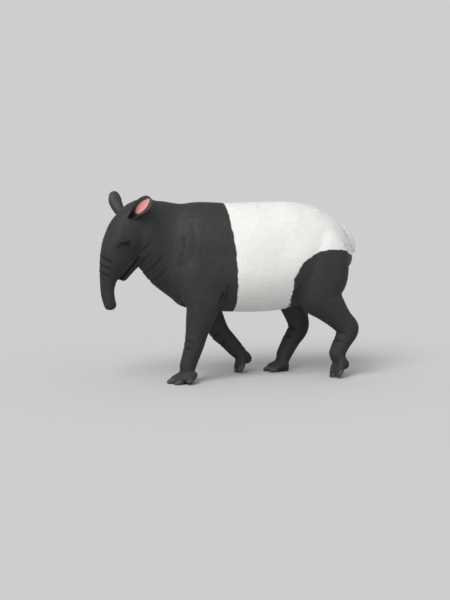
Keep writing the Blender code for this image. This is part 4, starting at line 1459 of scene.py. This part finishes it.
# Depth of a lock's root in the hide in metres, heights of its ridge and tip as shares of its length,
# and how far its shading leans from the hide's. The white coat lies flatter and shades softer.
LOCK_SHAPE = (0.0012, 0.058, 0.115, 1.0)
WHITE_SHAPE = (0.0004, 0.038, 0.066, 0.45)
LOCK_COVER = 0.46  # skin's area for each lock, over its length times its width
PATCH = 0.003  # side of a lock's place on the map, and the margin round the map
BODY_HAIR, LEG_HAIR, FOOT_HAIR = 0.0150, 0.0102, 0.0070  # lengths
NAPE_HAIR, FACE_HAIR, TRUNK_HAIR = 0.0120, 0.0070, 0.0045
EAR_HAIR = 0.0042
HAIR_SPREAD = (0.75, 1.25)  # a lock's length over the mean length there
BORDER_TRIM = 0.42  # of the length, at the saddle's border
BORDER_WIDTH = 0.012
COAT_EASING = 8  # passes that even out the way the hide faces, so that hair bridges its folds
rng = np.random.default_rng(LOCK_SEED)


def lie_lines():
    """Lines that the hair follows: name, path, girth of what it runs through, extra lean."""
    skull, jaw = skull_rings.mean(axis=1)[::-1], head_rings(JAW).mean(axis=1)[::-1]
    neck = neck_lines.mean(axis=1)[::-1]
    lines = [
        ("head", skull[:18:3], 0.050, (0, 0, 0)),
        ("head", skull[17::5], 0.105, (0, 0, 0)),
        ("head", jaw[::8], 0.060, (0, 0, 0)),
        ("neck", neck[::8], 0.200, (0, 0, -0.25)),
        ("body", on_body(((0, -0.340, 0.700), (0, 0.150, 0.700), (0, 0.560, 0.740))), 0.270, (0, 0, -0.42)),
        ("tail", tail_rings().mean(axis=1)[::3], 0.050, (0, 0, 0)),
    ]
    for foot in FEET:
        middles = leg_lines[foot].mean(axis=1)
        knee = row_at_height(leg_lines[foot], JOINTS[foot][2][1])
        lines.append((foot, middles[8 : int(knee) + 1 : 4], 0.120, (0, 0.15, 0)))
        lines.append((foot, middles[int(knee) :: 4], 0.052, (0, 0, 0)))
        toes = np.array(((0.0, 0.0, FETLOCK_HEIGHT), (0.060, 0.0, 0.035), (0.100, 0.0, 0.015)))
        lines.append((foot, from_foot(foot, toes), 0.050, (0, 0, 0)))
    return lines


def lie_of(points):
    """Way of the hair at each point and the name of the part it grows on.

    The way is the mean of the ways of all lines, each weighted by the sixth power of its girth over
    its distance. The part is that of the heaviest line.
    """
    way = np.zeros((len(points), 3))
    heaviest = np.zeros(len(points))
    part = np.zeros(len(points), int)
    names = []
    for name, path, girth, lean in lie_lines():
        if name not in names:
            names.append(name)
        for start, span in zip(path[:-1], np.diff(path, axis=0)):
            weight = (girth / from_span(points, start, span)[1]) ** 6
            way += weight[:, None] * (unit(span) + lean)
            part = np.where(weight > heaviest, names.index(name), part)
            heaviest = np.maximum(heaviest, weight)
    return unit(way), np.array(names)[part]


def hair_length(points):
    """Length of the hair: long on the body, shorter down the legs and towards the nose and the eyes."""
    u = to_head(points)[:, 0]
    ahead = smooth_step(TURN_STARTS, TURN_STARTS - 0.16, points[:, 1])
    head = NAPE_HAIR - (NAPE_HAIR - FACE_HAIR) * smooth_step(-0.10, 0.10, u)
    head -= (FACE_HAIR - TRUNK_HAIR) * smooth_step(0.20, 0.46, u)
    length = BODY_HAIR - (BODY_HAIR - LEG_HAIR) * smooth_step(0.55, 0.30, points[:, 2])
    length -= (LEG_HAIR - FOOT_HAIR) * smooth_step(0.20, 0.06, points[:, 2])
    length = length * (1 - ahead) + head * ahead
    eye = nearest(points, eye_places)
    return length * (0.55 + 0.45 * smooth_step(0.018, 0.050, eye))


def scattered(points, corners, size):
    """Places spread evenly over triangles: each is picked at an even step of the summed share of area
    over size, with a little chance, and lies anywhere in its triangle."""
    a, b, c = (points[corners[:, k]] for k in range(3))
    area = np.linalg.norm(np.cross(b - a, c - a), axis=1) / 2
    total = np.cumsum(area / size)
    count = int(total[-1])
    picked = np.searchsorted(total, np.arange(count) + rng.random(count))
    picked = np.minimum(picked, len(corners) - 1)
    first, second = rng.random((2, count))
    over = first + second > 1
    first, second = np.where(over, 1 - first, first), np.where(over, 1 - second, second)
    return picked, np.stack([1 - first - second, first, second], axis=1)


def mixed(values, corners, shares):
    """Values at places in triangles, from those at the corners and each corner's share."""
    return (values[corners] * shares.reshape(*shares.shape, *[1] * (values.ndim - 1))).sum(axis=1)


def triangles_of(mesh):
    mesh.calc_loop_triangles()
    corners = np.empty(len(mesh.loop_triangles) * 3, np.int32)
    mesh.loop_triangles.foreach_get("vertices", corners)
    return corners.reshape(-1, 3)


def lock_mesh(name, roots, normals, ways, lengths, depth, patches, shape=LOCK_SHAPE):
    """Locks as thin closed wedges.

    Each has two root points sunk in the hide, a ridge point a third of the way along, and a raised
    tip. Its shading normals are mostly the hide's, so that many locks shade as one soft coat.
    """
    across = np.cross(normals, ways)
    length = lengths[:, None]
    swell = rng.uniform(0.7, 1.3, (len(roots), 1))
    half = across * length * LOCK_WIDTH / 2 * swell
    sink, ridge_height, tip_height, tilt = shape
    base = roots - normals * np.minimum(sink, 0.2 * length)
    ridge = roots + ways * length * 0.35 + normals * length * ridge_height
    tip = roots + ways * length + normals * length * tip_height * rng.uniform(0.5, 1.25, (len(roots), 1))
    points = np.stack([base + half, base - half, ridge, tip], axis=1)
    points[..., 2] = np.maximum(points[..., 2], 0.0004)
    wedge = np.array(((0, 2, 3), (1, 3, 2), (0, 1, 2), (1, 0, 3)))
    corners = (np.arange(len(roots))[:, None, None] * 4 + wedge).reshape(-1, 3)
    mesh = mesh_from(name, points.reshape(-1, 3), corners)
    lit = np.stack(
        [
            normals + across * 0.40 * tilt,
            normals - across * 0.40 * tilt,
            normals - ways * 0.12 * tilt,
            normals + ways * 0.26 * tilt,
        ],
        axis=1,
    )
    mesh.shade_smooth()
    mesh.normals_split_custom_set_from_vertices(unit(lit).reshape(-1, 3))
    # Along and fold set painted shade: darker at each lock's root and in creases.
    add_values(mesh, "along", np.tile((0.0, 0.0, 0.45, 1.0), len(roots)))
    add_values(mesh, "shade", np.repeat(rng.random(len(roots)), 4))
    add_values(mesh, "fold", np.repeat(depth, 4))
    corner_patch = np.array(((0.0, 0.0), (1.0, 0.0), (0.5, 0.4), (0.5, 1.0))) * PATCH
    uv = (patches[:, None] + corner_patch).reshape(-1, 2)[corners.ravel()]
    mesh.uv_layers.new(name="OFBake").data.foreach_set("uv", uv.astype(np.float32).ravel())
    return mesh


def fur_shade_group():
    """Colour of hair from a root darkened as painted shade to its tip, each lock a little lighter or darker,
    over a broad mottle, and dimmed in creases as painted shade.
    """
    tree, given, result = new_group(
        "fur shade",
        [
            ("Root", "NodeSocketColor", (0.03, 0.03, 0.03, 1)),
            ("Tip", "NodeSocketColor", (0.06, 0.06, 0.06, 1)),
            ("Variation", "NodeSocketFloat", 0.3),
        ],
        [("Color", "NodeSocketColor")],
    )
    broad = noise(tree, own_place(tree), 9.0, 4.0)
    tone = calculated(tree, "MULTIPLY_ADD", attribute(tree, "shade"), 0.65, broad)
    centred = calculated(tree, "SUBTRACT", tone, 0.82)
    gain = calculated(tree, "MULTIPLY_ADD", centred, given.outputs["Variation"], 1.0)
    # Painted shade: hair dimmed in creases.
    dimmed = ranged(tree, attribute(tree, "fold"), 0.0, 1.0, 1.0, 0.25)
    # Painted shade: each lock darker at its root than at its tip.
    hair = blended(tree, attribute(tree, "along"), given.outputs["Root"], given.outputs["Tip"])
    inputs = {0: hair, "Scale": calculated(tree, "MULTIPLY", gain, dimmed)}
    shaded = add_node(tree, "ShaderNodeVectorMath", inputs, operation="SCALE").outputs[0]
    feed(tree, result, {"Color": shaded})
    return tree


fur_shade = fur_shade_group()


def fur_material(name, root, tip, variation, rough, sheen):
    """Matt hair with a faint sheen, from the colour of its root, darkened as painted shade, to that of its
    tip.
    """
    material, tree, shader = material_of(name)
    inputs = {"Root": root, "Tip": tip, "Variation": variation}
    finish = {
        "Base Color": add_node(tree, "ShaderNodeGroup", inputs, node_tree=fur_shade).outputs["Color"],
        "Roughness": rough,
        "Specular IOR Level": 0.35,
        "Sheen Weight": sheen,
        "Sheen Roughness": 0.45,
    }
    feed(tree, shader, finish)
    return material


CHARCOAL_TIP = (0.066, 0.064, 0.066, 1)
WHITE_TIP = (0.93, 0.925, 0.91, 1)
charcoal_fur = fur_material("charcoal fur", CHARCOAL_MOTTLE_AND_ROOT_SHADE, CHARCOAL_TIP, 0.60, 0.52, 0.06)
white_fur = fur_material("white fur", WHITE_MOTTLE_AND_ROOT_SHADE, WHITE_TIP, 0.12, 0.62, 0.10)


def patches_at(angle, along):
    """Corners of the locks' places on the map: the angle across it, the share of the length up it."""
    across = (angle + math.pi) / (2 * math.pi)
    return np.stack([across, along], axis=1) * (1 - 3 * PATCH) + PATCH


def unwrapped(part, points):
    """Place on the unwrapped skin of a part: angle about the part's middle line, and distance along it."""
    if part == "head":
        u, v, w = to_head(points).T
        middle = np.interp(u, [row[0] for row in SKULL], [row[1] for row in SKULL])
        angle, along = np.arctan2(w, v - middle), u
    elif part in ("neck", "body", "tail"):
        middle = {"neck": 0.80, "body": 0.70, "tail": 0.82}[part]
        angle, along = np.arctan2(points[:, 0], points[:, 2] - middle), points[:, 1]
    else:
        middles = leg_lines[part].mean(axis=1)[::-1]
        line_y = np.interp(points[:, 2], middles[:, 2], middles[:, 1])
        line_x = np.interp(points[:, 2], middles[:, 2], middles[:, 0])
        angle, along = np.arctan2(points[:, 0] - line_x, points[:, 1] - line_y), points[:, 2]
    return patches_at(angle, (along - along.min()) / max(np.ptp(along), 1e-6))


def turned_about(ways, normals, angle):
    """Ways turned about the normals by small angles, and laid flat on the skin."""
    flat = unit(ways - (ways * normals).sum(axis=1, keepdims=True) * normals)
    return flat * np.cos(angle)[:, None] + np.cross(normals, flat) * np.sin(angle)[:, None]


def swirl(points):
    """A slow wander of the lie, in radians: a sum of sines of the place."""
    x, y, z = points.T
    broad = 0.10 * np.sin(9 * y + 5 * z) + 0.08 * np.sin(17 * z - 11 * x + 3)
    return broad + 0.06 * np.sin(31 * y + 23 * z + 13 * x)


def grow_coat():
    """Locks over the whole skin, in pieces by part, side and colour."""
    corners = triangles_of(skin_mesh)
    points = points_of(skin_mesh)
    normals = unit(eased(skin_mesh, normals_of(skin_mesh), np.ones(len(points)), COAT_EASING))
    middles = points[corners].mean(axis=1)
    length = hair_length(middles)
    picked, shares = scattered(points, corners, length**2 * LOCK_WIDTH * LOCK_COVER)
    furless = np.maximum(bare, folds * 0.50)
    roots, outward, hairless, depth = (
        mixed(values, corners[picked], shares) for values in (points, normals, furless, folds)
    )
    outward = unit(outward)
    kept = (hairless < 0.45) & (roots[:, 2] > 0.004) & ~((outward[:, 2] < -0.6) & (roots[:, 2] < 0.03))
    roots, outward, hairless, depth = roots[kept], outward[kept], hairless[kept], depth[kept]
    ways, part = lie_of(roots)
    end_on = smooth_step(0.60, 0.95, np.abs((ways * outward).sum(axis=1))) * (part == "tail")
    wander = swirl(roots) + rng.normal(0, 0.13, len(roots))
    ways = turned_about(ways, outward, wander)
    lengths = hair_length(roots) * rng.uniform(*HAIR_SPREAD, len(roots))
    lengths = lengths * (1 - 0.6 * hairless) * (1 - 0.8 * end_on)
    from_border = inside_saddle(roots)
    white = from_border > rng.normal(0, 0.0015, len(roots))
    lengths *= 1 - BORDER_TRIM * np.exp(-((from_border / BORDER_WIDTH) ** 2))
    side = np.where(roots[:, 0] > 0, "left", "right")
    half = np.where(roots[:, 2] > 0.70, "upper", "lower")
    piece = part.astype("U40")
    trunk_part = (part == "body") | (part == "neck")
    piece = np.where(trunk_part & ~white, np.char.add(np.char.add(piece, "_"), side), piece)
    piece = np.where(white, np.char.add(np.char.add(np.char.add("saddle_", side), "_"), half), piece)
    cheek = np.where(to_head(roots)[:, 2] > 0, "head_left", "head_right")
    piece = np.where(part == "head", cheek, piece)
    for name in np.unique(piece):
        mine = piece == name
        is_white = name.startswith("saddle")
        patches = unwrapped("body" if is_white else str(part[mine][0]), roots[mine])
        grown = (given[mine] for given in (roots, outward, ways, lengths, depth))
        mesh = lock_mesh(f"coat_{name}", *grown, patches, WHITE_SHAPE if is_white else LOCK_SHAPE)
        mesh.materials.append(white_fur if is_white else charcoal_fur)
        add_piece(f"coat_{name}", mesh, "white_coat" if is_white else "black_coat")


grow_coat()


def coat_ear(name):
    """Very short hair over the outside of an ear, pointing to its tip."""
    leaf = bpy.data.objects[f"ear_{name}_leaf"].data
    corners = triangles_of(leaf)
    corners = corners[np.all(corners < EAR_ROWS * EAR_COLUMNS, axis=1)]
    points, normals = points_of(leaf), normals_of(leaf)
    picked, shares = scattered(points, corners, EAR_HAIR**2 * LOCK_WIDTH * LOCK_COVER)
    roots, outward = (mixed(values, corners[picked], shares) for values in (points, normals))
    outward = unit(outward)
    root, (across, front, axis) = ear_axes(name)
    ways = turned_about(np.broadcast_to(axis, roots.shape), outward, rng.normal(0, 0.15, len(roots)))
    offset = roots - root - front * EAR_ARCS[0][1]
    share = offset @ axis / EAR_LENGTH
    patches = patches_at(np.arctan2(offset @ across, -(offset @ front)), np.clip(share, 0, 1))
    lengths = EAR_HAIR * rng.uniform(*HAIR_SPREAD, len(roots)) * (1 - 0.75 * smooth_step(0.82, 0.96, share))
    mesh = lock_mesh(f"coat_ear_{name}", roots, outward, ways, lengths, np.zeros(len(roots)), patches)
    mesh.materials.append(charcoal_fur)
    add_piece(f"coat_ear_{name}", mesh, "black_coat")


for name in ("left", "right"):
    coat_ear(name)

# Lashes and whiskers
# Stiff dark hairs: lashes along the upper lids, longest at the rear corner, and sparse bristles round
# the tip of the trunk and the lips.
BRISTLE_ROWS = 6
BRISTLE_DEEP = (0.006, 0.006, 0.006, 1)
BRISTLE = (0.020, 0.018, 0.016, 1)
# Lashes: first and last place along the lid, how many, and how much of a long tuft they are
LASHES = ((0.0120, -0.0080, 14, 0.0), (-0.0105, -0.0135, 7, 0.7), (-0.0160, -0.0175, 7, 1.0))
LASH_RADIUS = 0.0012
LASH_LENGTH = 0.008
LASH_TUFT_LENGTH = 0.021  # what a long tuft adds
WHISKERS = 170
WHISKER_LENGTHS = (0.007, 0.015)
WHISKER_RADIUS = 0.00028


def bristle_mesh(name, roots, ways, bends, lengths, radius):
    """Tapered hairs, each of three-sided rings along a parabola that leaves its root and bends over."""
    t = np.linspace(0, 1, BRISTLE_ROWS)[None, :, None]
    length = lengths[:, None, None]
    line = roots[:, None] + (ways[:, None] * t + bends[:, None] * t * t) * length
    along = unit(ways[:, None] + 2 * bends[:, None] * t)
    first = unit(np.cross(along, bends[:, None] + (0.013, 0.007, 0.011)))
    second = np.cross(along, first)
    angle = np.linspace(0, 2 * math.pi, 3, endpoint=False)[None, None, :, None]
    girth = radius * (1 - 0.92 * t**1.5)[..., None]
    spread = np.cos(angle) * first[:, :, None] + np.sin(angle) * second[:, :, None]
    rings = line[:, :, None] + girth * spread
    count = len(roots)
    grid = np.arange(count * BRISTLE_ROWS * 3).reshape(count, BRISTLE_ROWS, 3)
    beside = np.roll(grid, -1, axis=2)
    walls = np.stack([grid[:, :-1], beside[:, :-1], beside[:, 1:], grid[:, 1:]], axis=-1).reshape(-1, 4)
    caps = np.concatenate([grid[:, 0, ::-1], grid[:, -1]])
    mesh = mesh_from(name, rings.reshape(-1, 3), walls, caps)
    smooth_outside(mesh)
    return mesh


def bristle_material():
    """Near-black hair, a little paler in places by a noise."""
    material, tree, shader = material_of("bristle")
    colour = blended(tree, noise(tree, own_place(tree), 120.0, 2.0), BRISTLE_DEEP, BRISTLE)
    feed(tree, shader, {"Base Color": colour, "Roughness": 0.55, "Specular IOR Level": 0.2})
    return material


bristle = bristle_material()
for name, (centre, axes) in eye_frames.items():
    a = np.concatenate([np.linspace(first, last, count) for first, last, count, _ in LASHES])
    tuft = np.concatenate([np.full(count, share) for _, _, count, share in LASHES])
    b = slit_height(a) + 0.0030
    out = np.sqrt(np.clip((EYE_RADIUS + 0.0012) ** 2 - a**2 - b**2, 1e-6, None))
    roots = centre + np.stack([a, b, out], axis=1) @ axes
    ways = unit(np.stack([-0.15 - 0.60 * tuft, 0.05 - 0.20 * tuft, 0.95 - 0.45 * tuft], axis=1)) @ axes
    lift = 0.45 + 0.70 * (tuft > 0) - 0.50 * tuft**4
    bends = np.stack([-0.10 - 0.15 * tuft, lift, 0 * tuft], axis=1) @ axes
    lengths = (LASH_LENGTH + LASH_TUFT_LENGTH * tuft) * rng.uniform(0.85, 1.1, len(a))
    lashes = bristle_mesh(f"lashes_{name}", roots, ways, bends, lengths, LASH_RADIUS)
    lashes.materials.append(bristle)
    add_piece(f"lashes_{name}", lashes, "black_coat")


def whisker_places():
    """Points and outward ways of skin near the tip of the trunk and along the lips."""
    points, normals = points_of(skin_mesh), normals_of(skin_mesh)
    u = to_head(points)[:, 0]
    to_lips = near_path(points, mouth_line)[0]
    to_tip = np.linalg.norm(points - np.mean(nostrils, axis=0), axis=1)
    chance = np.where((to_tip > 0.024) & (to_tip < 0.060), 1.0, 0.0)
    chance = np.maximum(chance, np.where((to_lips > 0.006) & (to_lips < 0.022) & (u > 0.17), 0.8, 0.0))
    picked = rng.choice(len(points), WHISKERS, replace=False, p=chance / chance.sum())
    return points[picked], normals[picked]


roots, outward = whisker_places()
hang = np.broadcast_to(np.array((0.0, 0.0, -0.35)), roots.shape)
ways = unit(outward + rng.normal(0, 0.16, roots.shape) + tip_way * 0.35)
lengths = rng.uniform(*WHISKER_LENGTHS, len(roots))
whiskers = bristle_mesh("whiskers", roots - outward * 0.001, ways, hang, lengths, WHISKER_RADIUS)
whiskers.materials.append(bristle)
add_piece("whiskers", whiskers, "black_coat")

# Floor and light
# A plain pale floor that runs out to the horizon under a pale sky, with one broad soft sun from
# the picture's upper left.
SKY_LIGHT = 0.62
SUN_LIGHT = 2.05
SUN_HEIGHT = math.radians(48)
SUN_WIDTH = math.radians(35)
FLOOR_RADIUS = 80.0
FLOOR_SHADE = SKY_LIGHT / (SKY_LIGHT + SUN_LIGHT * math.sin(SUN_HEIGHT) / math.pi)  # melts into the sky
floor_mesh = bpy.data.meshes.new("floor")
floor_build = bmesh.new()
bmesh.ops.create_circle(floor_build, cap_ends=True, segments=96, radius=FLOOR_RADIUS)
floor_build.to_mesh(floor_mesh)
floor_build.free()
floor = placed("floor", floor_mesh)
plaster, tree, shader = material_of("pale floor")
grey = (FLOOR_SHADE, FLOOR_SHADE, FLOOR_SHADE, 1)
feed(tree, shader, {"Base Color": grey, "Roughness": 0.9, "Specular IOR Level": 0.0})
floor_mesh.materials.append(plaster)

sun = placed("sun", bpy.data.lights.new("sun", "SUN"))
sun.data.energy = SUN_LIGHT
sun.data.angle = SUN_WIDTH
sun_way = picture_right * -0.45 + to_camera * 0.9
sun_way.z = 0
sun_way = sun_way.normalized() * math.cos(SUN_HEIGHT) + Vector((0, 0, math.sin(SUN_HEIGHT)))
sun.location = sun_way * 6
sun.rotation_mode = "QUATERNION"
sun.rotation_quaternion = sun_way.to_track_quat("Z", "Y")
world = bpy.data.worlds.new("sky")
world.use_nodes = True
feed(world.node_tree, world.node_tree.nodes["Background"], {"Color": (1, 1, 1, 1), "Strength": SKY_LIGHT})
bpy.context.scene.world = world
